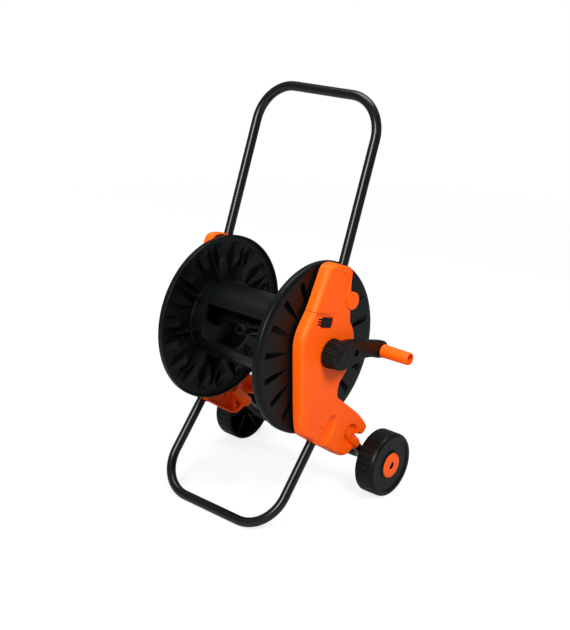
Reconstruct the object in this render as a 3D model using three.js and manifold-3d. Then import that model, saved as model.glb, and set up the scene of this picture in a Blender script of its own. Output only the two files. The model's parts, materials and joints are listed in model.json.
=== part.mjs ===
// Garden hose reel cart: two moulded side frames on bent steel tubes, a turning reel with a
// crank, a folding handle and two wheels.
// Units are millimetres. +X points to the crank side, +Y to the wheels, +Z up.
// Pieces are modelled round the reel axis (y = 0, z = 0) with the reel centred on x = 0, and
// the whole cart is placed at the end so that its origin is the middle of its footprint.

import * as THREE from "three";
import { mergeVertices } from "three/addons/utils/BufferGeometryUtils.js";
import { ConvexGeometry } from "three/addons/geometries/ConvexGeometry.js";
import Module from "manifold-3d";

const wasm = await Module();
wasm.setup();

// ---------- driving dimensions ----------

const AXLE_HEIGHT = 356; // reel axis above the floor
const GAP = 0.3; // clearance between pieces that touch

// bent steel tubes
const TUBE_R = 10;
const TUBE_BORE_R = 8.7;
const TUBE_X = 157; // plane of the tube legs on each side

// reel
const FLANGE_R = 179;
const RIM_IN_X = 122.5; // inner lip of a flange
const RIM_OUT_X = 136.5;
const HUB_RING_X = 105; // where the core meets a flange
const CORE_R = 82;
const JOURNAL_R = 13.5; // the reel turns on two journals of this radius
const JOURNAL_END_X = 174;
const POCKETS = 18;
const GUSSETS = 9;

// side frames
const FRAME_IN_X = 146;
const FRAME_OUT_X = 172;
const FRAME_WALL = 3;
const COVER_R = 13.5; // moulded cover round a tube

// handle
const HANDLE_PIVOT = [66, 93]; // y, z of the fold axis
const HANDLE_FOOT = [53.1, 178.9]; // a point on the leg's line
const HANDLE_TILT = THREE.MathUtils.degToRad(20);
const HANDLE_RISE = 322; // from that point up to the crossbar

// front foot
const FOOT_Y = -162.7;
const FOOT_TILT = THREE.MathUtils.degToRad(40);

// rear axle and wheels
const WHEEL_R = 70;
const WHEEL_Y = 152.5;
const WHEEL_IN_X = 183.5;
const WHEEL_OUT_X = 228.5;
const WHEEL_CAP_R = 27.5;
const AXLE_R = 6;
const REAR_TILT = THREE.MathUtils.degToRad(43); // legs, from the vertical

// crank
const CRANK_PIN = [134.5, -24.5];
const CRANK_FACE_X = 204;
const CRANK_ARM_X = 192; // back of the arm
const GRIP_END_X = 272;

const FLOOR_Z = -AXLE_HEIGHT;
const WHEEL_Z = FLOOR_Z + WHEEL_R;
const FOOT_Z = FLOOR_Z + TUBE_R;

// ---------- materials ----------

function plastic(color, roughness) {
  return new THREE.MeshStandardMaterial({ color, roughness, metalness: 0 });
}

const orangePlastic = plastic(0xff6a14, 0.42);
const blackPlastic = plastic(0x17191b, 0.4);
const blackPaint = new THREE.MeshStandardMaterial({ color: 0x0c0d0e, roughness: 0.18, metalness: 0.2 });
const steel = new THREE.MeshStandardMaterial({ color: 0xb4b7ba, roughness: 0.3, metalness: 0.95 });
const nylon = plastic(0xd8d6cf, 0.5);
const rubber = plastic(0x101112, 0.8);

// ---------- solids ----------

function solid(geometry) {
  const bare = geometry.index ? geometry.toNonIndexed() : geometry.clone();
  for (const name of Object.keys(bare.attributes)) {
    if (name !== "position") bare.deleteAttribute(name);
  }
  const merged = mergeVertices(bare, 1e-3);
  const index = [];
  for (let i = 0; i < merged.index.count; i += 3) {
    const [a, b, c] = [merged.index.getX(i), merged.index.getX(i + 1), merged.index.getX(i + 2)];
    if (a !== b && b !== c && c !== a) index.push(a, b, c);
  }
  const mesh = new wasm.Mesh({
    numProp: 3,
    vertProperties: new Float32Array(merged.attributes.position.array),
    triVerts: new Uint32Array(index),
  });
  return new wasm.Manifold(mesh);
}

function geometryOf(body) {
  const mesh = body.getMesh();
  const geometry = new THREE.BufferGeometry();
  const xyz = new Float32Array((mesh.vertProperties.length / mesh.numProp) * 3);
  for (let i = 0; i < xyz.length / 3; i += 1) {
    for (let k = 0; k < 3; k += 1) xyz[3 * i + k] = mesh.vertProperties[mesh.numProp * i + k];
  }
  geometry.setAttribute("position", new THREE.BufferAttribute(xyz, 3));
  geometry.setIndex(Array.from(mesh.triVerts));
  return geometry;
}

function mirrored(geometry) {
  const copy = geometry.clone();
  copy.scale(-1, 1, 1);
  const index = copy.index.array;
  for (let i = 0; i < index.length; i += 3) [index[i], index[i + 1]] = [index[i + 1], index[i]];
  return copy;
}

function joined(bodies) {
  return bodies.reduce((sum, body) => sum.add(body));
}

// A shape drawn in (y, z), extruded along +X.
const SHAPE_TO_SIDE = new THREE.Matrix4().makeBasis(
  new THREE.Vector3(0, 1, 0),
  new THREE.Vector3(0, 0, 1),
  new THREE.Vector3(1, 0, 0)
);

function prism(shape, xLow, xHigh, curveSegments = 6) {
  const options = { depth: xHigh - xLow, bevelEnabled: false, curveSegments };
  const geometry = new THREE.ExtrudeGeometry(shape, options);
  return solid(geometry.applyMatrix4(SHAPE_TO_SIDE).translate(xLow, 0, 0));
}

const PILLOW_REACH = 7.2; // widest edge rounding that the shapes' small corners leave room for

// The same with its outer edge rounded over; inset draws the whole outline in.
function pillow(shape, xLow, xHigh, edge, inset, segments) {
  const reach = Math.min(edge * 0.8, PILLOW_REACH);
  const options = {
    depth: xHigh - xLow,
    bevelEnabled: true,
    bevelThickness: edge,
    bevelSize: reach,
    bevelOffset: -reach - inset,
    bevelSegments: segments,
    curveSegments: 2,
  };
  const geometry = new THREE.ExtrudeGeometry(shape, options);
  const body = solid(geometry.applyMatrix4(SHAPE_TO_SIDE).translate(xLow - edge, 0, 0));
  return body.intersect(box(xLow, xHigh + edge, -400, 400, -400, 400));
}

function box(x0, x1, y0, y1, z0, z1) {
  const geometry = new THREE.BoxGeometry(x1 - x0, y1 - y0, z1 - z0);
  return solid(geometry.translate((x0 + x1) / 2, (y0 + y1) / 2, (z0 + z1) / 2));
}

// A round bar between two points.
function bar(from, to, radius, sides = 12, radiusTo = radius) {
  const a = new THREE.Vector3(...from);
  const b = new THREE.Vector3(...to);
  const geometry = new THREE.CylinderGeometry(radiusTo, radius, a.distanceTo(b), sides);
  const along = b.clone().sub(a).normalize();
  const turn = new THREE.Quaternion().setFromUnitVectors(new THREE.Vector3(0, 1, 0), along);
  geometry.applyQuaternion(turn);
  const middle = a.add(b).multiplyScalar(0.5);
  return solid(geometry.translate(middle.x, middle.y, middle.z));
}

// A bar along X at (y, z).
function pin(x0, x1, radius, y = 0, z = 0, sides = 12) {
  return bar([x0, y, z], [x1, y, z], radius, sides);
}

// A profile of [x, radius] points turned about X; it closes on itself.
function turned(profile, segments) {
  const points = [...profile, profile[0]].map(([x, r]) => new THREE.Vector2(r, -x));
  const geometry = new THREE.LatheGeometry(points, segments);
  geometry.rotateZ(Math.PI / 2);
  const body = solid(geometry);
  return body.volume() > 0 ? body : solid(flipped(geometry));
}

function flipped(geometry) {
  const loose = geometry.toNonIndexed();
  const xyz = loose.attributes.position.array;
  for (let i = 0; i < xyz.length; i += 9) {
    for (let k = 0; k < 3; k += 1) [xyz[i + k], xyz[i + 3 + k]] = [xyz[i + 3 + k], xyz[i + k]];
  }
  return loose;
}

// A closed outline through corners [y, z, radius], each rounded as far as its sides allow.
function outline(corners) {
  const shape = new THREE.Shape();
  const at = (i) => new THREE.Vector2(...corners[(i + corners.length) % corners.length]);
  corners.forEach(([y, z, wanted], i) => {
    const here = at(i);
    const before = at(i - 1).sub(here);
    const after = at(i + 1).sub(here);
    const room = Math.min(before.length(), after.length()) * 0.47;
    before.normalize();
    after.normalize();
    const half = Math.acos(before.dot(after)) / 2;
    const reach = Math.min(wanted / Math.tan(half), room);
    const radius = reach * Math.tan(half);
    const start = here.clone().addScaledVector(before, reach);
    if (i === 0) shape.moveTo(start.x, start.y);
    else shape.lineTo(start.x, start.y);
    if (radius > 0) {
      const end = here.clone().addScaledVector(after, reach);
      const middle = before.clone().add(after).normalize();
      const centre = here.clone().addScaledVector(middle, radius / Math.sin(half));
      const a0 = Math.atan2(start.y - centre.y, start.x - centre.x);
      const a1 = Math.atan2(end.y - centre.y, end.x - centre.x);
      shape.absarc(centre.x, centre.y, radius, a0, a1, before.cross(after) > 0);
    }
  });
  shape.closePath();
  return shape;
}

function along(point, tilt, distance) {
  return [point[0] + distance * Math.sin(tilt), point[1] + distance * Math.cos(tilt)];
}

// ---------- bent tubes ----------

// A U of tube: straight legs and crossbar with round bends, stepped only where it bends.
class BentPath extends THREE.Curve {
  constructor(corners, radius, bendSteps) {
    super();
    this.stations = [corners[0].clone()];
    this.headings = [corners[1].clone().sub(corners[0]).normalize()];
    for (let i = 1; i < corners.length - 1; i += 1) this.addBend(corners, i, radius, bendSteps);
    this.stations.push(corners.at(-1).clone());
    this.headings.push(corners.at(-1).clone().sub(corners.at(-2)).normalize());
  }

  addBend(corners, i, radius, bendSteps) {
    const back = corners[i - 1].clone().sub(corners[i]).normalize();
    const ahead = corners[i + 1].clone().sub(corners[i]).normalize();
    const half = back.angleTo(ahead) / 2;
    const toCentre = back.clone().add(ahead).normalize();
    const centre = corners[i].clone().addScaledVector(toCentre, radius / Math.sin(half));
    const start = corners[i].clone().addScaledVector(back, radius / Math.tan(half)).sub(centre);
    const turn = Math.PI - 2 * half;
    const axis = start.clone().cross(back.clone().negate()).normalize();
    for (let k = 0; k <= bendSteps; k += 1) {
      const angle = (turn * k) / bendSteps;
      this.stations.push(start.clone().applyAxisAngle(axis, angle).add(centre));
      this.headings.push(back.clone().negate().applyAxisAngle(axis, angle));
    }
  }

  get steps() {
    return this.stations.length - 1;
  }

  getPoint(t) {
    return this.stations[Math.round(t * this.steps)].clone();
  }

  getPointAt(u) {
    return this.getPoint(u);
  }

  getTangentAt(u) {
    return this.headings[Math.round(u * this.steps)].clone();
  }
}

function bentRod(corners, bendRadius, radius, sides) {
  const path = new BentPath(corners.map((c) => new THREE.Vector3(...c)), bendRadius, 4);
  const section = new THREE.Shape().absarc(0, 0, radius, 0, 2 * Math.PI, false);
  const options = { steps: path.steps, extrudePath: path, curveSegments: sides / 2 };
  const geometry = new THREE.ExtrudeGeometry(section, options);
  const body = solid(geometry);
  return body.volume() > 0 ? body : solid(flipped(geometry));
}

function mirrorX([x, y, z]) {
  return [-x, y, z];
}

const BEND_R = 81; // of the handle and the foot
const REAR_BEND_R = 28;

// Points on the three tubes' legs, on the crank side.
const handleEnd = along(HANDLE_FOOT, HANDLE_TILT, -70);
const handleTop = along(HANDLE_FOOT, HANDLE_TILT, HANDLE_RISE);
const footEnd = along([FOOT_Y, FOOT_Z], FOOT_TILT, 268);
const rearEnd = along([WHEEL_Y, WHEEL_Z], -REAR_TILT, 122);
const rearMouth = along([WHEEL_Y, WHEEL_Z], -REAR_TILT, 60);

// A U of tube whose legs end at end and whose crossbar lies at corner, both [y, z].
function uTube(end, corner, bendRadius) {
  const legs = (reach) => {
    const way = new THREE.Vector2(...end).sub(new THREE.Vector2(...corner)).normalize().multiplyScalar(reach);
    const leg = [TUBE_X, end[0] + way.x, end[1] + way.y];
    const turn = [TUBE_X, ...corner];
    return [mirrorX(leg), mirrorX(turn), turn, leg];
  };
  return bentRod(legs(0), bendRadius, TUBE_R, 12).subtract(bentRod(legs(1), bendRadius, TUBE_BORE_R, 6));
}

function handleTube() {
  return uTube(handleEnd, handleTop, BEND_R);
}

function footTube() {
  return uTube(footEnd, [FOOT_Y, FOOT_Z], BEND_R);
}

// The wheels' axle rod runs through this tube's crossbar and out through both bends.
function rearTube() {
  const tube = uTube(rearEnd, [WHEEL_Y, WHEEL_Z], REAR_BEND_R);
  return tube.subtract(pin(-TUBE_X - 30, TUBE_X + 30, AXLE_R + GAP, WHEEL_Y, WHEEL_Z));
}

// ---------- side frames and handle caps ----------

// Side view of a frame with its handle cap closed, before the two are parted at the seam.
const sideOutline = outline([
  [-5, 184.5, 14],
  [-47, 100, 0],
  [-62, 81, 0],
  [-80, 55, 0],
  [-85.5, 30, 0],
  [-79, -122, 20],
  [-73, -160, 30],
  [44, -243.5, 0],
  [57, -251, 0],
  [76, -253, 0],
  [93, -243.5, 9],
  [103, -214.5, 0],
  [123, -224, 9],
  [142, -208, 11],
  [116, -173, 0],
  [34, -106, 14],
  [34, -80, 0],
  [62.2, -56.6, 78],
  [82.6, -16, 78],
  [78.9, 29.2, 78],
  [66, 50, 0],
  [64, 112, 0],
  [69, 159, 9],
  [20, 181, 0],
]);

const EDGE_ROUNDING = 13;

// Everything above the seam, in side view; lift opens the gap between frame and cap.
function aboveSeam(lift) {
  const shape = new THREE.Shape();
  shape.moveTo(-200, 143 + lift);
  shape.lineTo(-52, 98 + lift);
  shape.lineTo(-4, 83 + lift);
  shape.quadraticCurveTo(20, 79 + lift, 40, 97 + lift);
  shape.lineTo(60, 97 + lift);
  shape.lineTo(120, 97 + lift);
  shape.lineTo(120, 260);
  shape.lineTo(-200, 260);
  return prism(shape, 100, 200);
}

function skin(inset, top, edge, segments) {
  return pillow(sideOutline, FRAME_IN_X - inset, top, edge, inset, segments);
}

function tubeCover(from, to, extra) {
  return bar([TUBE_X, ...from], [TUBE_X, ...to], COVER_R + extra, 10);
}

// A finger-shaped dish beside a tube cover, as an ellipsoid sunk into the outer face.
function dish(centre, tilt, halfLength, halfWidth, depth, extra) {
  const geometry = new THREE.SphereGeometry(1, 10, 5);
  geometry.scale(depth * 2 + extra, halfWidth + extra, halfLength + extra);
  geometry.rotateX(-tilt);
  return solid(geometry.translate(FRAME_OUT_X + depth * 0.9, ...centre));
}

const handleGroove = [[49, 131], HANDLE_TILT, 32, 10.5, 7];
const footDish = [[6, -170], FOOT_TILT, 36, 20, 6];

// Round recess in which the rear tube's socket stands, open towards the wheel.
function rearRecess(extra) {
  const centre = along(rearEnd, -REAR_TILT, -14);
  const floor = FRAME_OUT_X - 8 - extra;
  const round = pin(floor, 200, 24 + extra, ...centre, 14);
  const way = bar([TUBE_X + 9, ...centre], [TUBE_X + 9, ...along(rearMouth, -REAR_TILT, -60)], 15 + extra, 10);
  return round.add(way.intersect(box(floor, 200, -400, 400, -400, 400)));
}

const bearingBossR = 25;
const bearingHoleR = 19;

// Stiffening ribs inside the shell: spokes from the bearing to the edge.
function frameRibs() {
  const spokes = [62, 142, 178, 214, 256, 296, 342].map((degrees) => {
    const angle = THREE.MathUtils.degToRad(degrees);
    const geometry = new THREE.BoxGeometry(FRAME_OUT_X - FRAME_IN_X - 4, 260, 2.4);
    geometry.translate(0, 130 + bearingBossR - 4, 0);
    geometry.rotateX(angle);
    return solid(geometry.translate((FRAME_IN_X + FRAME_OUT_X) / 2 + 1, 0, 0));
  });
  return joined(spokes);
}

function shellCavity() {
  let cavity = skin(FRAME_WALL, FRAME_OUT_X - FRAME_WALL, 5, 1);
  cavity = cavity.subtract(dish(...handleGroove, 2.5)).subtract(dish(...footDish, 2.5));
  return cavity.subtract(rearRecess(2.5));
}

// The latch is drawn square about its own middle, then turned in line with the seam.
const LATCH_AT = [-13.5, 67.4];
const LATCH_TURN = -16; // degrees about X
const LATCH_W = 32;
const LATCH_H = 20;

function atLatch(body) {
  return body.rotate([LATCH_TURN, 0, 0]).translate([0, ...LATCH_AT]);
}

function latchShape(gap) {
  const [w, h] = [LATCH_W / 2 + gap, LATCH_H / 2 + gap];
  return outline([[-w, h, 0], [-w, -h, 0], [w, -h, 0], [w, h, 0]]);
}

// The button shows through a shallow panel below the seam, with a comb of slots on its front side.
function latchWindow() {
  const panel = outline([[-40, 16, 0], [-36, -12, 4], [18, -12, 4], [18, 12, 0]]);
  const edge = -LATCH_W / 2;
  const slots = [-5, 5].map((z) => box(150, 200, edge - 5, edge, z - 1.6, z + 1.6));
  return atLatch(joined([prism(panel, FRAME_OUT_X - 1.2, 200, 1), prism(latchShape(GAP), 150, 200, 1), ...slots]));
}

// Way through the seam for the latch's hook and the cap's tongue.
function latchPass(extra) {
  return atLatch(box(153, FRAME_OUT_X - FRAME_WALL, -13 - extra, 13 + extra, 11, 28));
}

function latchTongue() {
  const tongue = box(163, 166, -9, 9, 13.4, 35);
  return atLatch(tongue.add(box(163, FRAME_OUT_X - 2, -9, 9, 31, 35)));
}

const HINGE_SPLIT_X = 161.7; // cap's ear inside this plane, frame's boss outside it
const HINGE_R = 18;
const HINGE_PIN_R = 4;
const HINGE_BORE_R = 4.6; // in the cap's ear, which turns on the pin
const HINGE_PIN_END_X = FRAME_OUT_X - 0.5; // under the boss's closed face

function sideFrame() {
  const below = box(100, 200, -400, 400, -400, 400).subtract(aboveSeam(-GAP - 0.2));
  const cavityBelow = box(100, 200, -400, 400, -400, 400).subtract(aboveSeam(-3.5));
  let shell = skin(0, FRAME_OUT_X, EDGE_ROUNDING, 2).intersect(below).subtract(shellCavity().intersect(cavityBelow));
  shell = shell.add(frameRibs().intersect(skin(1.5, FRAME_OUT_X - 1.5, 9, 1)).intersect(below));
  shell = shell.add(pin(FRAME_IN_X, FRAME_OUT_X, bearingBossR, 0, 0, 18));
  shell = shell.subtract(dish(...footDish, 0)).subtract(rearRecess(0));
  // sockets of the foot tube and the rear tube
  const footSocket = tubeCover(along([FOOT_Y, FOOT_Z], FOOT_TILT, 196), along(footEnd, FOOT_TILT, 5), 0);
  const rearSocket = tubeCover(rearMouth, along(rearEnd, -REAR_TILT, 5), 0);
  shell = shell.add(footSocket).add(rearSocket);
  shell = shell.subtract(bar([TUBE_X, FOOT_Y, FOOT_Z], [TUBE_X, ...along(footEnd, FOOT_TILT, GAP)], TUBE_R + GAP));
  shell = shell.subtract(bar([TUBE_X, WHEEL_Y, WHEEL_Z], [TUBE_X, ...along(rearEnd, -REAR_TILT, GAP)], TUBE_R + GAP));
  // fold hinge: a round boss outside, cleared inside for the cap's ear
  const [py, pz] = HANDLE_PIVOT;
  shell = shell.add(pin(HINGE_SPLIT_X + GAP, FRAME_OUT_X + 3, HINGE_R, py, pz, 14));
  shell = shell.subtract(pin(100, HINGE_SPLIT_X + GAP, HINGE_R + 0.9, py, pz, 12));
  shell = shell.subtract(pin(100, HINGE_PIN_END_X + GAP, HINGE_PIN_R + GAP, py, pz, 8));
  return shell.subtract(latchWindow()).subtract(latchPass(0)).subtract(pin(100, 200, bearingHoleR, 0, 0, 18));
}

function handleCap() {
  const above = aboveSeam(0);
  const cavityAbove = aboveSeam(3);
  let cap = skin(0, FRAME_OUT_X, EDGE_ROUNDING, 2).intersect(above).subtract(shellCavity().intersect(cavityAbove));
  const [py, pz] = HANDLE_PIVOT;
  const cover = tubeCover(along(handleEnd, HANDLE_TILT, -6), along(HANDLE_FOOT, HANDLE_TILT, -6), 0);
  cap = cap.subtract(dish(...handleGroove, 0));
  cap = cap.add(cover.intersect(above));
  // ear round the hinge pin, tied to the shell
  const ear = pin(FRAME_IN_X + 1, HINGE_SPLIT_X - GAP, HINGE_R - 0.3, py, pz, 14);
  const tie = prism(outline([[py - 22, pz + 2, 0], [py - 8, pz + 2, 0], [py + 4, pz + 40, 0], [py - 30, pz + 40, 0]]),
    FRAME_IN_X + 1, HINGE_SPLIT_X - GAP, 2);
  cap = cap.subtract(pin(HINGE_SPLIT_X - GAP, 200, HINGE_R + 0.9, py, pz, 12));
  cap = cap.add(ear).add(tie.intersect(above));
  cap = cap.subtract(pin(100, 200, HINGE_BORE_R, py, pz, 8));
  const bore = bar([TUBE_X, ...along(handleEnd, HANDLE_TILT, -GAP)], [TUBE_X, ...handleTop], TUBE_R + GAP);
  return cap.subtract(bore).subtract(latchPass(1)).add(latchTongue());
}

// ---------- reel ----------

const WEB_IN_X = 136.8;
const WEB_OUT_X = 139.4;
const HUB_RING_IN_R = 75;
const HUB_RING_OUT_R = 84;
const SLEEVE_R = 20; // sleeve in which a journal sits
const SLEEVE_BORE_R = JOURNAL_R + 0.5;
const SLEEVE_END_X = 118;
const SCREW_CIRCLE_R = 68; // screws that hold the core
const PANEL_ANGLES = [110, 230, 350];
const PANEL_SPAN = 60;

// Half sections of a flange: rim with its lip turned in, then hub ring and journal sleeve.
const rimProfile = [
  [WEB_OUT_X, HUB_RING_OUT_R + 3],
  [WEB_OUT_X, 172],
  [RIM_OUT_X - 2, FLANGE_R],
  [RIM_IN_X + 1, FLANGE_R],
  [RIM_IN_X + 1, 174.5],
  [WEB_IN_X, 171],
  [WEB_IN_X, HUB_RING_OUT_R + 3],
];

const hubRingProfile = [
  [WEB_OUT_X, SLEEVE_BORE_R],
  [WEB_OUT_X, HUB_RING_OUT_R + 6],
  [WEB_IN_X, HUB_RING_OUT_R + 6],
  [WEB_IN_X, HUB_RING_OUT_R],
  [HUB_RING_X, HUB_RING_OUT_R],
  [HUB_RING_X, HUB_RING_IN_R],
  [WEB_IN_X, HUB_RING_IN_R],
  [WEB_IN_X, SLEEVE_R],
  [SLEEVE_END_X, SLEEVE_R],
  [SLEEVE_END_X, SLEEVE_BORE_R],
];

function polar(x, radius, offset, degrees) {
  const angle = THREE.MathUtils.degToRad(degrees);
  const y = radius * Math.cos(angle) - offset * Math.sin(angle);
  const z = radius * Math.sin(angle) + offset * Math.cos(angle);
  return new THREE.Vector3(x, y, z);
}

// A pressed-in wedge: steep end near the rim, crest, long tapered end near the hub.
const WEDGE = [
  { radius: 163, x: 0, half: 8.8 },
  { radius: 134, x: -12.6, half: 8.3 },
  { radius: 91, x: 0, half: 3 },
];

function wedge(degrees, wall) {
  const points = [];
  for (const sign of [-1, 1]) {
    for (const end of WEDGE) {
      const half = sign * (end.half - wall);
      const inset = end.x === 0 ? Math.sign(134 - end.radius) * wall * 1.4 : 0;
      points.push(polar(WEB_IN_X + end.x + wall, end.radius + inset, half, degrees));
      points.push(polar(WEB_OUT_X + (wall ? 6 : -0.4), end.radius + inset, half, degrees));
    }
  }
  return solid(new ConvexGeometry(points));
}

// A flat plate standing radially, drawn by its [x, radius] corners.
function radialPlate(corners, half, degrees) {
  const points = [-half, half].flatMap((w) => corners.map(([x, r]) => polar(x, r, w, degrees)));
  return solid(new ConvexGeometry(points));
}

// A thin triangular gusset from the hub ring to the web.
function gusset(degrees) {
  const foot = HUB_RING_OUT_R - 2;
  return radialPlate([[HUB_RING_X + 2.5, foot], [WEB_IN_X + 1, foot], [WEB_IN_X + 1, 163]], 1.1, degrees);
}

function around(count, first, make) {
  return joined(Array.from({ length: count }, (_, i) => make(first + (360 / count) * i)));
}

function screwPlace(degrees) {
  const at = polar(0, SCREW_CIRCLE_R, 0, degrees);
  return [at.y, at.z];
}

// One form serves both sides. firstPocket turns its pattern, as the two aren't in step.
function flange(firstPocket) {
  let body = turned(rimProfile, 36).add(turned(hubRingProfile, 18));
  body = body.add(around(POCKETS, firstPocket, (a) => wedge(a, 0)));
  body = body.add(around(GUSSETS, firstPocket + 10, gusset));
  body = body.subtract(around(POCKETS, firstPocket, (a) => wedge(a, 1.9)));
  const places = PANEL_ANGLES.map(screwPlace);
  body = body.add(joined(places.map((at) => pin(HUB_RING_X, WEB_OUT_X - 1, 9, ...at, 8))));
  body = body.subtract(joined(places.map((at) => pin(HUB_RING_X + 5, 150, 6.4, ...at, 6))));
  return body.subtract(joined(places.map((at) => pin(90, 150, 2.7, ...at, 6))));
}

const SPIGOT = 16; // square seat of the crank
const SPIGOT_END_X = 181.7;
const JOURNAL_COLLAR_X = 113;

// Journal on the crank side: it plugs into the flange's sleeve and ends in a square.
function driveStub() {
  const body = pin(JOURNAL_COLLAR_X, JOURNAL_END_X, JOURNAL_R, 0, 0, 18).add(journalCollar());
  const square = box(150, SPIGOT_END_X, -SPIGOT / 2, SPIGOT / 2, -SPIGOT / 2, SPIGOT / 2);
  return body.add(square).subtract(pin(140, 190, 3.3, 0, 0, 8));
}

function journalCollar() {
  return pin(JOURNAL_COLLAR_X, SLEEVE_END_X - GAP, 17, 0, 0, 18);
}

// One third of the core: an arched panel with returned edges and a screw boss at each end.
function corePanel(middle) {
  const half = PANEL_SPAN / 2;
  const from = THREE.MathUtils.degToRad(middle - half);
  const to = THREE.MathUtils.degToRad(middle + half);
  const lip = 3.2 / CORE_R;
  const wall = 2.6;
  const shape = new THREE.Shape();
  shape.absarc(0, 0, CORE_R, from, to, false);
  shape.absarc(0, 0, CORE_R - 9, to, to - lip, true);
  shape.absarc(0, 0, CORE_R - wall, to - lip, from + lip, true);
  shape.absarc(0, 0, CORE_R - 9, from + lip, from, true);
  shape.closePath();
  const end = HUB_RING_X - GAP;
  let panel = prism(shape, -end, end, 2);
  const [y, z] = screwPlace(middle);
  const outer = polar(0, CORE_R - 1.5, 0, middle);
  for (const side of [-1, 1]) {
    const [x0, x1] = side < 0 ? [-end, -end + 32] : [end - 32, end];
    const boss = pin(x0, x1, 6.5, y, z, 8);
    const web = [-2, 2].flatMap((w) => [x0, x1].flatMap((x) => [
      polar(x, SCREW_CIRCLE_R, w, middle),
      polar(x, CORE_R - 1.5, w, middle),
    ]));
    panel = panel.add(boss).add(solid(new ConvexGeometry(web)));
    panel = panel.subtract(side < 0 ? pin(x0 - 1, x0 + 26, 2.7, y, z, 6) : pin(x1 - 26, x1 + 1, 2.7, y, z, 6));
  }
  return panel;
}

// Pan-head screw along +X with its head at headX, pointing towards the drum's middle.
function screw(headX, headR, headH, shankR, length) {
  const profile = [
    [headX - length, 0],
    [headX - length + 3, shankR],
    [headX, shankR],
    [headX, headR],
    [headX + headH, headR * 0.7],
    [headX + headH, 0],
  ];
  return turned(profile, 6);
}

// ---------- water way ----------

const OUTLET_X = -8;
const INLET_X = 178; // where the inlet elbow leaves its journal
const OUTLET_ANGLE = 163;

// The inlet side's journal runs on as the pipe inside the core, with an elbow at the outlet.
function waterPipe() {
  const journal = pin(JOURNAL_COLLAR_X, JOURNAL_END_X, JOURNAL_R, 0, 0, 18).add(journalCollar());
  const out = polar(OUTLET_X, 52, 0, OUTLET_ANGLE).toArray();
  const beyond = polar(OUTLET_X, 60, 0, OUTLET_ANGLE).toArray();
  const elbow = [OUTLET_X, 0, 0];
  return journal
    .mirror([1, 0, 0])
    .add(pin(-JOURNAL_COLLAR_X - 1, OUTLET_X + 9, 9))
    .add(bar(elbow, out, 9))
    .subtract(pin(-INLET_X, -150, 8))
    .subtract(pin(-151, OUTLET_X, 6, 0, 0, 8))
    .subtract(bar(elbow, beyond, 6, 8));
}

// Threaded nipple on the pipe's end, for the hose's first connector.
function hoseOutlet() {
  const at = (radius) => polar(OUTLET_X, radius, 0, OUTLET_ANGLE).toArray();
  const nut = bar(at(52 + GAP), at(61), 13, 6);
  const nose = bar(at(60), at(77), 10);
  return nut.add(nose).subtract(bar(at(50), at(80), 6.2, 8));
}


// Swivelling elbow that plugs into the inlet side's journal, with a click-on hose nipple.
function inletElbow() {
  const x0 = INLET_X;
  const body = pin(x0 - 26, x0 + 4, 7.5).add(pin(x0, x0 + 27, 14));
  const down = (z, r, to, r2 = r) => bar([x0 + 14, 0, z], [x0 + 14, 0, to], r, 10, r2);
  const nipple = down(-8, 11, -24).add(down(-23, 8, -50)).add(down(-31, 9.6, -34));
  const bore = pin(x0 - 30, x0 + 14, 5, 0, 0, 8).add(bar([x0 + 14, 0, 0], [x0 + 14, 0, -60], 5, 8));
  const groove = turned([[x0 - 20, 6.2], [x0 - 20, 9], [x0 - 17, 9], [x0 - 17, 6.2]], 12);
  return body.add(nipple).subtract(bore).subtract(groove);
}

function inletSeal() {
  return turned([[INLET_X - 19.6, 6.5], [INLET_X - 19.6, 7.7], [INLET_X - 17.4, 7.7], [INLET_X - 17.4, 6.5]], 12);
}

// ---------- bearings, pins and latch ----------

function bearingBush() {
  const sleeve = bearingHoleR - GAP;
  const collar = [FRAME_IN_X - 2.6, FRAME_IN_X - GAP];
  return turned([
    [FRAME_OUT_X, SLEEVE_BORE_R],
    [FRAME_OUT_X, sleeve],
    [collar[1], sleeve],
    [collar[1], 23],
    [collar[0], 23],
    [collar[0], SLEEVE_BORE_R],
  ], 18);
}

function hingePin() {
  return pin(FRAME_IN_X + 1, HINGE_PIN_END_X, HINGE_PIN_R, ...HANDLE_PIVOT, 8);
}

// Push button with its retaining flange and the hook that stands beside the cap's tongue.
function latchButton() {
  const wallX = FRAME_OUT_X - FRAME_WALL - GAP;
  const button = pillow(latchShape(0), 159, FRAME_OUT_X + 1, 2, 0, 1);
  const collar = box(wallX - 3, wallX, -18.5, 18.5, -12.8, 9.8);
  return atLatch(button.add(collar).add(box(158.7, 161.7, -10, 10, -12.8, 22)));
}

// ---------- wheels ----------

const WHEEL_SEAT_X = WHEEL_OUT_X - 5.5; // floor of the recess for the cap

// Half sections of the tyre and of the disc with its hub.
const tyreProfile = [
  [WHEEL_IN_X, 65],
  [WHEEL_IN_X + 1.5, WHEEL_R],
  [WHEEL_OUT_X - 5, WHEEL_R],
  [WHEEL_OUT_X - 0.6, 66.5],
  [WHEEL_OUT_X, 59],
  [WHEEL_OUT_X - 3, 55],
  [WHEEL_SEAT_X - 2.5, 60],
];

const discProfile = [
  [WHEEL_OUT_X - 3, 61],
  [WHEEL_OUT_X - 3, WHEEL_CAP_R + 8],
  [WHEEL_OUT_X, WHEEL_CAP_R + 4],
  [WHEEL_OUT_X, WHEEL_CAP_R + 0.9],
  [WHEEL_SEAT_X, WHEEL_CAP_R + 0.9],
  [WHEEL_SEAT_X, AXLE_R + GAP],
  [179, AXLE_R + GAP],
  [179, 12.5],
  [WHEEL_SEAT_X - 2.5, 14],
  [WHEEL_SEAT_X - 2.5, 61],
];

const TREADS = 36;

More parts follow.
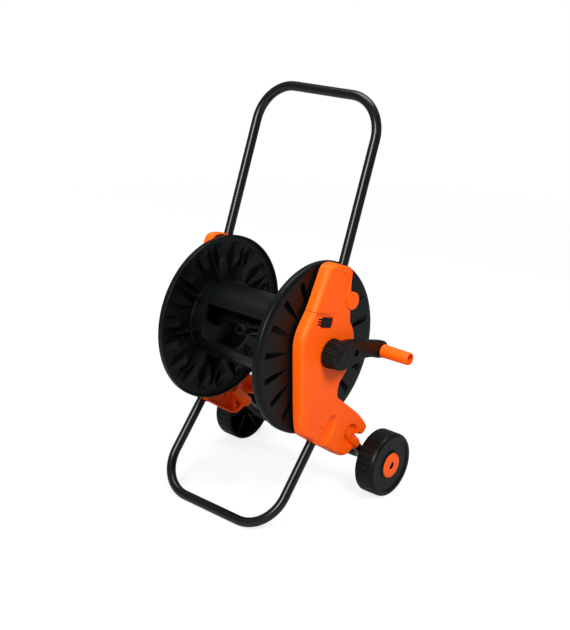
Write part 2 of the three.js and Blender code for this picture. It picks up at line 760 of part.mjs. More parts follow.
function wheel() {
  const [x0, x1] = [WHEEL_IN_X, WHEEL_SEAT_X - 2];
  const rib = [[x0 + 8, 12], [x0 + 8, 64], [x1, 64], [x1, 12]];
  return turned(tyreProfile, 36)
    .add(turned(discProfile, 18))
    .add(around(6, 0, (degrees) => radialPlate(rib, 1.3, degrees)))
    .subtract(around(TREADS, 5, treadGroove))
    .translate([0, WHEEL_Y, WHEEL_Z]);
}

// A V groove across the inner part of the tread.
function treadGroove(degrees) {
  const [x0, x1] = [WHEEL_IN_X - 5, WHEEL_IN_X + 28];
  const [deep, high] = [WHEEL_R - 2, WHEEL_R + 2];
  const points = [[x0, high, -3.4], [x0, high, 3.4], [x0, deep, 0], [x1, high, -3.4], [x1, high, 3.4], [x1, deep, 0]];
  return solid(new ConvexGeometry(points.map(([x, r, w]) => polar(x, r, w, degrees))));
}

// Snap-in cap: a shallow cup with a hole that shows the axle's end.
function wheelCap() {
  const profile = [
    [WHEEL_SEAT_X + GAP, WHEEL_CAP_R - 1.3],
    [WHEEL_SEAT_X + GAP, WHEEL_CAP_R],
    [WHEEL_OUT_X - 0.6, WHEEL_CAP_R],
    [WHEEL_OUT_X + 1, WHEEL_CAP_R - 3],
    [WHEEL_OUT_X + 1.4, 7],
    [WHEEL_OUT_X - 0.4, 7],
    [WHEEL_OUT_X - 1.2, WHEEL_CAP_R - 1.3],
  ];
  return turned(profile, 16).translate([0, WHEEL_Y, WHEEL_Z]);
}

function ring(x0, x1, inner, outer, segments) {
  return turned([[x0, inner], [x0, outer], [x1, outer], [x1, inner]], segments).translate([0, WHEEL_Y, WHEEL_Z]);
}

// ---------- crank ----------

const HUB_LOBES = 24;
const CRANK_CAP_X = 197; // floor of the cap's seat
const CRANK_CAP_R = 16;

// Fluted hub, tapered towards its face.
function crankHub() {
  const [x0, x1] = [174.5, CRANK_FACE_X - 1];
  const geometry = new THREE.CylinderGeometry(27, 31, x1 - x0, HUB_LOBES * 2);
  const place = geometry.attributes.position;
  for (let i = 0; i < place.count; i += 1) {
    const angle = Math.atan2(place.getZ(i), place.getX(i));
    const step = Math.round((angle * HUB_LOBES) / Math.PI);
    const shrink = Math.abs(step) % 2 === 1 ? 0.955 : 1;
    place.setXYZ(i, place.getX(i) * shrink, place.getY(i), place.getZ(i) * shrink);
  }
  geometry.rotateZ(-Math.PI / 2);
  return solid(geometry.translate((x0 + x1) / 2, 0, 0));
}

function crankArm() {
  const [py, pz] = CRANK_PIN;
  const arm = outline([
    [-20, 24, 12],
    [-20, -24, 12],
    [14, -34, 0],
    [48, -24, 0],
    [py - 42, pz - 1, 0],
    [py - 8, pz - 16, 0],
    [py + 17, pz - 15, 14],
    [py + 16, pz + 16, 14],
    [py - 14, pz + 26, 0],
    [58, 19, 0],
    [16, 31, 0],
  ]);
  let body = pillow(arm, CRANK_ARM_X, CRANK_FACE_X, 3.5, 0, 1).add(crankHub());
  body = body.subtract(pin(CRANK_FACE_X - 4, 210, 7, 45, -5, 10));
  body = body.subtract(pin(CRANK_CAP_X, 210, CRANK_CAP_R + GAP, 0, 0, 20));
  body = body.subtract(pin(185, 210, 8, 0, 0, 12)).subtract(pin(170, 210, 3.3, 0, 0, 8));
  const seat = SPIGOT / 2 + GAP;
  body = body.subtract(box(170, 182, -seat, seat, -seat, seat));
  return body.subtract(pin(170, 210, 5 + GAP, py, pz, 12));
}

function crankCap() {
  const [x0, x1] = [CRANK_CAP_X + GAP, CRANK_FACE_X + 1];
  return turned([[x0, 0], [x0, CRANK_CAP_R], [x1 - 2, CRANK_CAP_R], [x1 - 0.5, CRANK_CAP_R - 2.5], [x1, 0]], 20);
}

function crankPin() {
  const [x0, x1] = [CRANK_ARM_X - 3.6, GRIP_END_X - 10];
  const profile = [
    [x0, 0],
    [x0, 8],
    [CRANK_ARM_X - GAP, 8],
    [CRANK_ARM_X - GAP, 5],
    [x1 - 4, 5],
    [x1 - 4, 7],
    [x1 - 1, 6],
    [x1, 0],
  ];
  return turned(profile, 12).translate([0, ...CRANK_PIN]);
}

function crankGrip() {
  const start = CRANK_FACE_X + 1.3;
  const floor = GRIP_END_X - 14.3; // of the hollow end, in front of which the pin is riveted
  const profile = [
    [start, 5.4],
    [start, 14.4],
    [start + 4, 14.4],
    [start + 6, 13.8],
    [240, 13.6],
    [GRIP_END_X - 2, 13],
    [GRIP_END_X, 11.8],
    [GRIP_END_X, 10],
    [floor, 9.8],
    [floor, 5.4],
  ];
  return turned(profile, 14).translate([0, ...CRANK_PIN]);
}

// ---------- assembly ----------

const cart = new THREE.Group();

function place(name, body, material) {
  const mesh = new THREE.Mesh(body.isBufferGeometry ? body : geometryOf(body), material);
  mesh.name = name;
  cart.add(mesh);
}

function placePair(name, body, material) {
  const geometry = geometryOf(body);
  place(name + "_right", geometry, material);
  place(name + "_left", mirrored(geometry), material);
}

placePair("side_frame", sideFrame(), orangePlastic);
placePair("handle_cap", handleCap(), orangePlastic);
placePair("bearing_bush", bearingBush(), nylon);
placePair("hinge_pin", hingePin(), steel);
placePair("latch_button", latchButton(), blackPlastic);
place("handle_tube", handleTube(), blackPaint);
place("foot_tube", footTube(), blackPaint);
place("rear_axle_tube", rearTube(), blackPaint);

place("flange_right", flange(9.8), blackPlastic);
place("flange_left", mirrored(geometryOf(flange(10.9))), blackPlastic);
place("drive_stub", driveStub(), blackPlastic);
PANEL_ANGLES.forEach((angle, i) => {
  place("core_panel_" + (i + 1), corePanel(angle), blackPlastic);
  const headed = screw(HUB_RING_X + 5 + GAP, 5, 3.4, 2, 28).translate([0, ...screwPlace(angle)]);
  placePair("core_screw_" + (i + 1), headed, steel);
});
place("water_pipe", waterPipe(), blackPlastic);
place("hose_outlet", hoseOutlet(), blackPlastic);
place("inlet_elbow", mirrored(geometryOf(inletElbow())), blackPlastic);
place("inlet_seal", mirrored(geometryOf(inletSeal())), rubber);

place("crank_arm", crankArm(), blackPlastic);
place("crank_screw", screw(185 + GAP, 7, 3.2, 3, 34), steel);
place("crank_cap", crankCap(), blackPlastic);
place("crank_pin", crankPin(), steel);
place("crank_grip", crankGrip(), orangePlastic);

place("axle_rod", ring(2 - WHEEL_OUT_X, WHEEL_OUT_X - 2, 0, AXLE_R, 12), steel);
placePair("wheel", wheel(), blackPlastic);
placePair("wheel_cap", wheelCap(), orangePlastic);
placePair("axle_spacer", ring(163.5, 178.7, AXLE_R + 0.7, 9, 10), blackPlastic);
placePair("push_nut", ring(WHEEL_SEAT_X + GAP, WHEEL_SEAT_X + 2, AXLE_R + 0.7, 11, 10), steel);

// The origin is the middle of the footprint, on the floor.
cart.updateMatrixWorld(true);
const extent = new THREE.Box3().setFromObject(cart, true);
const centre = extent.getCenter(new THREE.Vector3());
cart.position.set(-centre.x, -centre.y, -extent.min.z);
cart.updateMatrixWorld(true);

export default cart;
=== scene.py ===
import json
import math

import bmesh
import bpy
from bmesh.types import BMEdge, BMFace, BMVert
from mathutils import Matrix, Vector


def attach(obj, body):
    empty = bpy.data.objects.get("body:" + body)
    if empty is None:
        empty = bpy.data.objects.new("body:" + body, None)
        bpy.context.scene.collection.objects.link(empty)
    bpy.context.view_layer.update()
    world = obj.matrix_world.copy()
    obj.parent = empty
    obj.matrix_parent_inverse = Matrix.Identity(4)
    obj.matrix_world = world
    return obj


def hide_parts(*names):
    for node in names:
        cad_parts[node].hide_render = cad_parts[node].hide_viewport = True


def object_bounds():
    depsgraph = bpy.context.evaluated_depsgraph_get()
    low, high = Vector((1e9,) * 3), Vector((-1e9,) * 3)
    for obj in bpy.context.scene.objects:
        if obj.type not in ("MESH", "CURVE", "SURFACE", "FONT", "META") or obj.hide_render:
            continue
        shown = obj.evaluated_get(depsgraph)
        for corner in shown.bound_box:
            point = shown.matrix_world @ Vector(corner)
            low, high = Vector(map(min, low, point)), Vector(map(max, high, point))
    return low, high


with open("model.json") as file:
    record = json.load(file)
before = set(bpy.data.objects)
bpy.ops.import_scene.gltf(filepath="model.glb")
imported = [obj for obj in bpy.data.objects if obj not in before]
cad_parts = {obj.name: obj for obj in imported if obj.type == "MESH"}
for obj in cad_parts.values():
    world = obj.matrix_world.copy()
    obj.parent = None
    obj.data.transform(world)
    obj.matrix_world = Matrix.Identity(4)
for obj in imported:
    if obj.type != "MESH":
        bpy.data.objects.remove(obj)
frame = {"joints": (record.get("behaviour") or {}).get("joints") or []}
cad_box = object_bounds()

# ---------- bent steel tubes ----------
# Three U-shaped steel tubes, 20 mm across, carry the cart: the folding handle, the front foot
# and the rear legs on the axle. Each is bent cold and powder-coated in gloss black.

# Every piece is drawn in millimetres round the reel's axis, then set into the frame.
REEL = Vector(next(j["pos_m"] for j in frame["joints"] if j["name"] == "reel_turn"))
TO_FRAME = Matrix.Translation(REEL) @ Matrix.Scale(0.001, 4)

TUBE_R = 10
TUBE_BORE_R = 8.7
TUBE_X = 157  # plane of the legs on each side
TUBE_SIDES = 40
BEND_STEPS = 18
BORE_DEPTH = 60  # how far each open end is hollow
GAP = 0.3  # clearance round a tube in its socket
FLOOR_Z = -356
WHEEL_R = 70
FOOT = (-162.7, FLOOR_Z + TUBE_R)  # y, z of the foot's bar
AXLE = (152.5, FLOOR_Z + WHEEL_R)
HANDLE_BASE = (53.1, 178.9)
HANDLE_TILT = math.radians(20)
FOOT_TILT = math.radians(40)
BEND_R = 81  # of the handle and the foot
REAR_BEND_R = 28
REAR_TILT = math.radians(-43)


def along(point, tilt, distance):
    return point[0] + distance * math.sin(tilt), point[1] + distance * math.cos(tilt)


def cleaned(bm):
    bmesh.ops.remove_doubles(bm, verts=bm.verts, dist=0.002)
    bmesh.ops.dissolve_degenerate(bm, edges=bm.edges, dist=0.002)
    bmesh.ops.recalc_face_normals(bm, faces=bm.faces)
    return bm


def of_kind(kind, geometry):
    """The vertices, edges or faces among what an operator has made."""
    return [g for g in geometry if isinstance(g, kind)]


def piece(name, bm, finish, body, slot, *nodes, sharp=34):
    """Sets a drawn mesh into the frame as one finished object."""
    bmesh.ops.transform(bm, matrix=TO_FRAME, verts=bm.verts)
    mesh = bpy.data.meshes.new(name)
    bm.to_mesh(mesh)
    bm.free()
    mesh.shade_smooth()
    mesh.set_sharp_from_angle(angle=math.radians(sharp))
    mesh.materials.append(finish)
    obj = bpy.data.objects.new(name.replace(" ", "_"), mesh)
    bpy.context.scene.collection.objects.link(obj)
    even = obj.modifiers.new("even shading", "WEIGHTED_NORMAL")
    even.keep_sharp = True
    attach(obj, body)
    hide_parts(*nodes)


def bent_tube(end, corner, bend_radius):
    """A U of tube from leg end to crossbar and back, drawn flat and then tilted."""
    way = Vector((0, corner[0] - end[0], corner[1] - end[1]))
    length = way.length
    bm = bmesh.new()
    ring = bmesh.ops.create_circle(bm, segments=TUBE_SIDES, radius=TUBE_R)["verts"]
    bmesh.ops.translate(bm, vec=(TUBE_X, 0, 0), verts=ring)
    edges = list({e for v in ring for e in v.link_edges})
    first = edges

    def straight(edges, vec):
        made = bmesh.ops.extrude_edge_only(bm, edges=edges)["geom"]
        verts = of_kind(BMVert, made)
        bmesh.ops.translate(bm, vec=vec, verts=verts)
        return of_kind(BMEdge, made)

    def bend(edges, centre):
        verts = list({v for e in edges for v in e.verts})
        made = bmesh.ops.spin(
            bm,
            geom=verts + edges,
            cent=centre,
            axis=(0, -1, 0),
            angle=math.pi / 2,
            steps=BEND_STEPS,
        )["geom_last"]
        return of_kind(BMEdge, made)

    reach = length - bend_radius
    across = TUBE_X - bend_radius
    edges = straight(edges, (0, 0, reach))
    edges = bend(edges, (across, 0, reach))
    edges = straight(edges, (-2 * across, 0, 0))
    edges = bend(edges, (-across, 0, reach))
    last = straight(edges, (0, 0, -reach))
    for rim, inward in ((first, 1), (last, 1)):
        made = bmesh.ops.extrude_edge_only(bm, edges=rim)["geom"]
        verts = of_kind(BMVert, made)
        middle = sum((v.co for v in verts), Vector()) / len(verts)
        bore = TUBE_BORE_R / TUBE_R
        bmesh.ops.scale(bm, vec=(bore, bore, 1), space=Matrix.Translation(-middle), verts=verts)
        bore_edges = of_kind(BMEdge, made)
        bore_edges = straight(bore_edges, (0, 0, BORE_DEPTH * inward))
        bmesh.ops.edgeloop_fill(bm, edges=bore_edges)
    turn = Vector((0, 0, 1)).rotation_difference(way.normalized()).to_matrix()
    bmesh.ops.rotate(bm, matrix=turn, verts=bm.verts)
    bmesh.ops.translate(bm, vec=(0, *end), verts=bm.verts)
    return cleaned(bm)


class Wire:
    """One output in a finish's nodes, so that sums on it read as plain sums."""

    def __init__(self, finish, socket):
        self.finish = finish
        self.socket = socket

    def maths(self, operation, a, b):
        node = self.finish.add("Math", {"operation": operation}, {0: a, 1: b})
        return node[0]

    def __add__(self, other):
        return self.maths("ADD", self, other)

    def __mul__(self, other):
        return self.maths("MULTIPLY", self, other)

    __radd__ = __add__
    __rmul__ = __mul__


class Finish:
    """A named material with its nodes."""

    def __init__(self, name, **constants):
        self.material = bpy.data.materials.new(name)
        self.material.use_nodes = True
        self.nodes = self.material.node_tree.nodes
        self.links = self.material.node_tree.links
        self.surface = self.nodes["Principled BSDF"].inputs
        for socket, value in constants.items():
            self.surface[socket.replace("_", " ")].default_value = value

    def feed(self, socket, value):
        if isinstance(value, Wire):
            self.links.new(value.socket, socket)
        else:
            socket.default_value = value

    def add(self, kind, settings=None, sockets=None):
        node = self.nodes.new("ShaderNode" + kind)
        for name, value in (settings or {}).items():
            setattr(node, name, value)
        for key, value in (sockets or {}).items():
            self.feed(node.inputs[key], value)
        return [Wire(self, out) for out in node.outputs if out.enabled]

    def place(self):
        coordinates = self.nodes.new("ShaderNodeTexCoord")
        return Wire(self, coordinates.outputs["Object"])

    def grain(self, scale, detail=2.0):
        sockets = {"Vector": self.place(), "Scale": scale, "Detail": detail}
        return self.add("TexNoise", {}, sockets)[0]

    def tint(self, amount, low, high):
        mix = self.nodes.new("ShaderNodeMix")
        mix.data_type = "RGBA"
        self.feed(mix.inputs[0], amount)
        self.feed(mix.inputs[6], low)
        self.feed(mix.inputs[7], high)
        return Wire(self, mix.outputs[2])

    def bump(self, height, strength, distance):
        sockets = {"Height": height, "Strength": strength, "Distance": distance}
        return self.add("Bump", {}, sockets)[0]


def shade(red, green, blue):
    """A linear colour from screen values."""
    linear = [
        value / 255 / 12.92 if value <= 10 else ((value / 255 + 0.055) / 1.055) ** 2.4
        for value in (red, green, blue)
    ]
    return (*linear, 1.0)


# Powder coat: gloss black with the faint orange-peel of baked powder.
coat = Finish("gloss black powder coat", Specular_IOR_Level=0.4)
peel = coat.grain(260.0)
coat.feed(coat.surface["Base Color"], coat.tint(peel, shade(6, 7, 9), shade(10, 11, 13)))
coat.feed(coat.surface["Roughness"], 0.19 + 0.04 * coat.grain(12.0))
coat.feed(coat.surface["Normal"], coat.bump(peel, 0.008, 0.0002))
black_coat = coat.material

handle_end = along(HANDLE_BASE, HANDLE_TILT, -70)
handle_top = along(HANDLE_BASE, HANDLE_TILT, 322)
foot_end = along(FOOT, FOOT_TILT, 268)
rear_end = along(AXLE, REAR_TILT, 122)
rear_mouth = along(AXLE, REAR_TILT, 60)

tube = bent_tube(handle_end, handle_top, BEND_R)
piece("handle bent tube", tube, black_coat, "handle", "black_paint", "handle_tube")
tube = bent_tube(foot_end, FOOT, BEND_R)
piece("foot bent tube", tube, black_coat, "frame", "black_paint", "foot_tube")
tube = bent_tube(rear_end, AXLE, REAR_BEND_R)
piece("rear bent tube", tube, black_coat, "frame", "black_paint", "rear_axle_tube")

# ---------- side frames ----------
# One hollow moulding stands on each side of the reel: orange polypropylene, 3 mm thick, open
# towards the reel and stiffened by ribs. It holds the reel's bearing, grips the foot and rear
# tubes in round sockets, and carries the handle's hinge.

FRAME_IN_X = 146
FRAME_OUT_X = 172
COVER_R = 13.5
BULLNOSE = 13  # depth of the rounded edge
FRAME_WALL = 3
HOLLOW_STRAIGHT = 15  # depth of the hollow up to where it narrows
HOLLOW_TAPER = 7
BACKING = 2.5  # wall behind a hollow in the face
BEARING_HOLE_R = 19
HINGE = (66, 93)
HINGE_R = 18
HINGE_CLEAR_R = 18.9
HINGE_BORE_R = 4.3
CORNER_STEPS = 7
LATCH = (-13.5, 67.4)
LATCH_TURN = math.radians(-16)  # in line with the seam above it


def side_shape(corners, x):
    """A flat face in side view at x through corners (y, z, radius of the corner)."""
    bm = bmesh.new()
    verts = [bm.verts.new((x, y, z)) for y, z, _ in corners]
    face = bm.faces.new(verts)
    face.normal_update()
    count = len(verts)
    reaches = []
    for i, vert in enumerate(verts):
        back = verts[i - 1].co - vert.co
        ahead = verts[(i + 1) % count].co - vert.co
        half = back.angle(ahead) / 2
        room = min(back.length, ahead.length) * 0.48
        reaches.append(min(corners[i][2] / math.tan(half), room))
    for vert, reach in zip(verts, reaches):
        if reach > 0.01:
            bmesh.ops.bevel(
                bm,
                geom=[vert],
                offset=reach,
                segments=CORNER_STEPS,
                profile=0.5,
                affect="VERTICES",
                material=-1,
            )
    face = bm.faces[:][0]
    face.normal_update()
    if face.normal.x < 0:
        bmesh.ops.reverse_faces(bm, faces=[face])
    return bm


def thicken(bm, x_low, x_high):
    """Draws a side shape out along X; returns the far face."""
    near = bm.faces[:][0]
    bmesh.ops.translate(bm, vec=(x_low - near.verts[0].co.x, 0, 0), verts=bm.verts)
    made = bmesh.ops.extrude_face_region(bm, geom=[near])["geom"]
    verts = of_kind(BMVert, made)
    bmesh.ops.translate(bm, vec=(x_high - x_low, 0, 0), verts=verts)
    bmesh.ops.recalc_face_normals(bm, faces=bm.faces)
    return max(bm.faces, key=lambda f: f.calc_center_median().x)


def round_over(bm, face, inset, depth, steps):
    """Rounds the edge of a face by a run of small insets along a quarter ellipse."""
    for step in range(steps):
        low = math.pi / 2 * step / steps
        high = math.pi / 2 * (step + 1) / steps
        bmesh.ops.inset_region(
            bm,
            faces=[face],
            use_boundary=True,
            use_even_offset=True,
            thickness=inset * (math.cos(low) - math.cos(high)),
            depth=depth * (math.sin(high) - math.sin(low)),
        )


def slab(corners, x_low, x_high):
    bm = side_shape(corners, x_low)
    thicken(bm, x_low, x_high)
    return cleaned(bm)


def block(x_low, x_high, y_low, y_high, z_low, z_high):
    bm = bmesh.new()
    size = Vector((x_high - x_low, y_high - y_low, z_high - z_low))
    middle = Vector((x_high + x_low, y_high + y_low, z_high + z_low)) / 2
    bmesh.ops.create_cube(bm, size=1, matrix=Matrix.LocRotScale(middle, None, size))
    return bm


def rod(start, stop, radius, sides=48, stop_radius=None):
    """A round bar from start to stop."""
    bm = bmesh.new()
    way = Vector(stop) - Vector(start)
    turn = Vector((0, 0, 1)).rotation_difference(way.normalized())
    place = Matrix.Translation((Vector(start) + Vector(stop)) / 2) @ turn.to_matrix().to_4x4()
    bmesh.ops.create_cone(
        bm,
        cap_ends=True,
        segments=sides,
        radius1=radius,
        radius2=radius if stop_radius is None else stop_radius,
        depth=way.length,
        matrix=place,
    )
    return bm


def cross_rod(x_low, x_high, radius, y=0, z=0, sides=48):
    return rod((x_low, y, z), (x_high, y, z), radius, sides)


def turned(profile, steps=96, y=0, z=0):
    """A closed profile of (x, radius) points, turned about X."""
    bm = bmesh.new()
    verts = [bm.verts.new((x, r, 0)) for x, r in profile]
    ends = list(zip(verts, verts[1:]))
    if profile[0][1] or profile[-1][1]:
        ends.append((verts[-1], verts[0]))
    edges = [bm.edges.new(pair) for pair in ends]
    bmesh.ops.spin(
        bm,
        geom=verts + edges,
        axis=(1, 0, 0),
        angle=2 * math.pi,
        steps=steps,
        use_merge=True,
    )
    bmesh.ops.translate(bm, vec=(0, y, z), verts=bm.verts)
    return cleaned(bm)


def group(*parts):
    """Several meshes as one; the parts are used up."""
    whole = bmesh.new()
    for part in parts:
        mesh = bpy.data.meshes.new("part")
        part.to_mesh(mesh)
        whole.from_mesh(mesh)
        part.free()
        bpy.data.meshes.remove(mesh)
    return whole


def carved(bm, *steps):
    """Joins or cuts away each shape in turn: steps are (how, mesh)."""
    mesh = bpy.data.meshes.new("blank")
    bm.to_mesh(mesh)
    bm.free()
    blank = bpy.data.objects.new("blank", mesh)
    bpy.context.scene.collection.objects.link(blank)
    for how, tool in steps:
        bmesh.ops.recalc_face_normals(tool, faces=tool.faces)
        tool_mesh = bpy.data.meshes.new("tool")
        tool.to_mesh(tool_mesh)
        tool.free()
        cutter = bpy.data.objects.new("tool", tool_mesh)
        bpy.context.scene.collection.objects.link(cutter)
        work = blank.modifiers.new("work", "BOOLEAN")
        work.operation = how
        work.solver = "EXACT"
        work.object = cutter
        depsgraph = bpy.context.evaluated_depsgraph_get()
        result = bpy.data.meshes.new_from_object(blank.evaluated_get(depsgraph))
        blank.modifiers.clear()
        blank.data = result
        bpy.data.objects.remove(cutter)
        bpy.data.meshes.remove(tool_mesh)
    bm = bmesh.new()
    bm.from_mesh(blank.data)
    bpy.data.objects.remove(blank)
    return cleaned(bm)


def scoop(centre, tilt, half_length, half_width, depth, wall=0.0):
    """An ellipsoid that sinks a finger-shaped hollow into the outer face."""
    bm = bmesh.new()
    lift = depth * 0.25
    reach = depth + lift
    spread = 1 / math.sqrt(1 - (lift / reach) ** 2)
    size = (reach + wall, half_width * spread + wall, half_length * spread + wall)
    bmesh.ops.create_uvsphere(bm, u_segments=48, v_segments=28, radius=1)
    bmesh.ops.scale(bm, vec=size, verts=bm.verts)
    bmesh.ops.rotate(bm, matrix=Matrix.Rotation(-tilt, 3, "X"), verts=bm.verts)
    bmesh.ops.translate(bm, vec=(FRAME_OUT_X + lift, *centre), verts=bm.verts)
    return bm


SOFT = 400  # radius of the slow curves between nearly straight runs
FRAME_SIDE = [
    (-6, 180.5, 16),
    (-47, 100, SOFT),
    (-62, 81, SOFT),
    (-80, 55, SOFT),
    (-85.5, 30, SOFT),
    (-79, -122, SOFT),
    (-73, -160, 30),
    (44, -243.5, SOFT),
    (57, -251, SOFT),
    (76, -253, SOFT),
    (93, -243.5, 9),
    (103, -214.5, 2),
    (123, -224, 9),
    (142, -208, 11),
    (116, -173, SOFT),
    (34, -106, 14),
    (34, -80, SOFT),
    (62.2, -56.6, SOFT),
    (82.6, -16, SOFT),
    (78.9, 29.2, SOFT),
    (66, 50, 20),
    (64, 112, SOFT),
    (69, 159, 9),
    (20, 181, SOFT),
]


def side_block():
    """The side moulding as if it were solid, with its outer edge rounded."""
    bm = side_shape(FRAME_SIDE, FRAME_IN_X)
    round_over(bm, thicken(bm, FRAME_IN_X, FRAME_OUT_X - BULLNOSE), 7.2, BULLNOSE, 8)
    return bm


def shell():
    """The whole side moulding, hollow towards the reel."""
    bm = side_block()
    back = min(bm.faces, key=lambda f: f.calc_center_median().x)
    bmesh.ops.inset_region(
        bm,
        faces=[back],
        use_boundary=True,
        use_even_offset=True,
        thickness=FRAME_WALL,
    )
    made = bmesh.ops.extrude_face_region(bm, geom=[back])["geom"]
    verts = of_kind(BMVert, made)
    bmesh.ops.delete(bm, geom=[back], context="FACES_ONLY")
    floor = of_kind(BMFace, made)[0]
    bmesh.ops.translate(bm, vec=(HOLLOW_STRAIGHT, 0, 0), verts=verts)
    bmesh.ops.inset_region(
        bm,
        faces=[floor],
        use_boundary=True,
        use_even_offset=True,
        thickness=5,
        depth=-HOLLOW_TAPER,
    )
    return cleaned(bm)


def backed(hollow):
    """The wall behind a hollow in the face, from the same shape drawn larger."""
    return carved(hollow, ("INTERSECT", side_block()))


def above_seam(lift):
    """Everything above the parting line between a frame and its handle cap."""
    corners = [
        (-200, 143, 0),
        (-52, 98, 0),
        (-4, 83, 12),
        (20, 80, 60),
        (41, 97, 14),
        (120, 97, 0),
        (120, 260, 0),
        (-200, 260, 0),
    ]
    return slab([(y, z + lift if z < 200 else z, r) for y, z, r in corners], 100, 200)


def rear_recess(wall=0.0):
    """The round hollow in which the rear tube's socket stands, open towards the wheel."""
    centre = along(rear_end, REAR_TILT, -14)
    floor = FRAME_OUT_X - 8 - wall
    profile = [(floor, 0), (floor, 22.5), (floor + 1.5, 24), (171, 24.6), (200, 27), (200, 0)]
    tool = turned([(x, r + wall if r else 0) for x, r in profile], 72, *centre)
    far = along(rear_mouth, REAR_TILT, -60)
    way = rod((TUBE_X + 9, *centre), (TUBE_X + 9, *far), 15 + wall)
    way = carved(way, ("INTERSECT", block(floor, 200, -400, 400, -400, 400)))
    return carved(tool, ("UNION", way))


def tube_cover(start, stop):
    return rod((TUBE_X, *start), (TUBE_X, *stop), COVER_R)


def tube_way(start, stop):
    """The round way that a socket leaves for its tube."""
    return rod((TUBE_X, *start), (TUBE_X, *stop), TUBE_R + GAP)


def spoke_turn(degrees):
    return Matrix.Rotation(math.radians(degrees), 3, "X")


def ribs():
    """Spokes inside the shell, from the bearing out to the rim."""
    spokes = []
    for degrees in (62, 142, 174, 196, 256, 296, 342):
        spoke = block(FRAME_IN_X + 3, FRAME_OUT_X - 1, -1.2, 1.2, 21, 260)
        bmesh.ops.rotate(spoke, matrix=spoke_turn(degrees), verts=spoke.verts)
        spokes.append(spoke)
    return group(*spokes)


def snap_tongue(centre, tilt, width, length):
    """The thin U-shaped slit round a sprung tongue that locks a tube in its socket."""
    outer = slab(
        [
            (-width / 2, -length, 0),
            (width / 2, -length, 0),
            (width / 2, 0, width / 2.1),
            (-width / 2, 0, width / 2.1),
        ],
        FRAME_OUT_X - 6,
        FRAME_OUT_X + 8,
    )
    inner = slab(
        [
            (-width / 2 + 1.3, -length - 2, 0),
            (width / 2 - 1.3, -length - 2, 0),
            (width / 2 - 1.3, -1.3, width / 2.1 - 1.2),
            (-width / 2 + 1.3, -1.3, width / 2.1 - 1.2),
        ],
        FRAME_OUT_X - 8,
        FRAME_OUT_X + 10,
    )
    bm = carved(outer, ("DIFFERENCE", inner))
    bmesh.ops.rotate(bm, matrix=Matrix.Rotation(-tilt, 3, "X"), verts=bm.verts)
    bmesh.ops.translate(bm, vec=(0, *centre), verts=bm.verts)
    return bm


def at_latch(bm):
    """Turns a form drawn square about the latch's middle into its place."""
    bmesh.ops.rotate(bm, matrix=Matrix.Rotation(LATCH_TURN, 3, "X"), verts=bm.verts)
    bmesh.ops.translate(bm, vec=(0, *LATCH), verts=bm.verts)
    return bm


LATCH_TEETH = (-5.4, 0, 5.4)


def latch_window():
    """A shallow panel with the button's opening and the slots of its finger comb."""
    panel = slab([(-40, 16, 4), (-37, -13, 6), (19, -13, 6), (19, 12.5, 4)], FRAME_OUT_X - 1.8, 200)
    hole = slab([(-16.4, 10.4, 2), (-16.4, -10.4, 2), (16.4, -10.4, 2), (16.4, 10.4, 2)], 150, 199)
    slots = [("UNION", block(150, 198, -26, -15, z - 1.7, z + 1.7)) for z in LATCH_TEETH]
    return at_latch(carved(panel, ("UNION", hole), *slots))


FOOT_SCOOP = ((1, -171), FOOT_TILT, 35, 21, 12)


def side_frame():
    hinge_y, hinge_z = HINGE
    foot_way = tube_way(FOOT, along(foot_end, FOOT_TILT, GAP))
    rear_way = tube_way(AXLE, along(rear_end, REAR_TILT, GAP))
    rib_set = ribs()
    limit = slab(FRAME_SIDE, FRAME_IN_X + 2, FRAME_IN_X + HOLLOW_STRAIGHT + HOLLOW_TAPER + 0.4)
    bmesh.ops.scale(limit, vec=(1, 0.96, 0.96), verts=limit.verts)
    rib_set = carved(rib_set, ("INTERSECT", limit), ("DIFFERENCE", above_seam(-1.7)))
    boss = cross_rod(FRAME_IN_X, FRAME_OUT_X - 1, 25, sides=96)  # its hole is cut last
    hinge_boss = [
        (162, HINGE_BORE_R),
        (162, HINGE_R),
        (174.2, HINGE_R),
        (175, 17.2),
        (175, 0),
        (171.8, 0),
        (171.8, HINGE_BORE_R),
    ]
    return carved(
        shell(),
        ("DIFFERENCE", above_seam(-1.3)),
        ("UNION", rib_set),
        ("UNION", boss),
        ("UNION", backed(scoop(*FOOT_SCOOP, BACKING))),
        ("UNION", backed(rear_recess(BACKING))),
        ("DIFFERENCE", scoop(*FOOT_SCOOP)),
        ("DIFFERENCE", rear_recess()),
        ("UNION", tube_cover(along(FOOT, FOOT_TILT, 203), along(foot_end, FOOT_TILT, 5))),
        ("UNION", tube_cover(rear_mouth, along(rear_end, REAR_TILT, 5))),
        ("DIFFERENCE", foot_way),
        ("DIFFERENCE", rear_way),
        ("DIFFERENCE", snap_tongue((-19, -157), FOOT_TILT, 13, 14)),
        ("DIFFERENCE", snap_tongue((82, -207), REAR_TILT, 8, 14)),
        ("UNION", turned(hinge_boss, 64, hinge_y, hinge_z)),
        ("DIFFERENCE", cross_rod(100, 162, HINGE_CLEAR_R, hinge_y, hinge_z)),
        ("DIFFERENCE", block(174, 180, hinge_y - 1, hinge_y + 1, hinge_z - 5, hinge_z + 5)),
        ("DIFFERENCE", latch_window()),
        ("DIFFERENCE", cross_rod(100, 200, BEARING_HOLE_R)),
    )


def to_other_side(bm):
    """A mirrored copy for the cart's other side."""
    other = bm.copy()
    bmesh.ops.scale(other, vec=(-1, 1, 1), verts=other.verts)
    bmesh.ops.recalc_face_normals(other, faces=other.faces)
    return other


def pair(name, bm, finish, body, slot, node, **settings):
    """The same piece on the right and, mirrored, on the left."""
    other = to_other_side(bm)
    for side, drawn in (("right", bm), ("left", other)):
        piece(
            name + " " + side,
            drawn,
            finish,
            body.format(side),
            slot,
            node + "_" + side,
            **settings,
        )


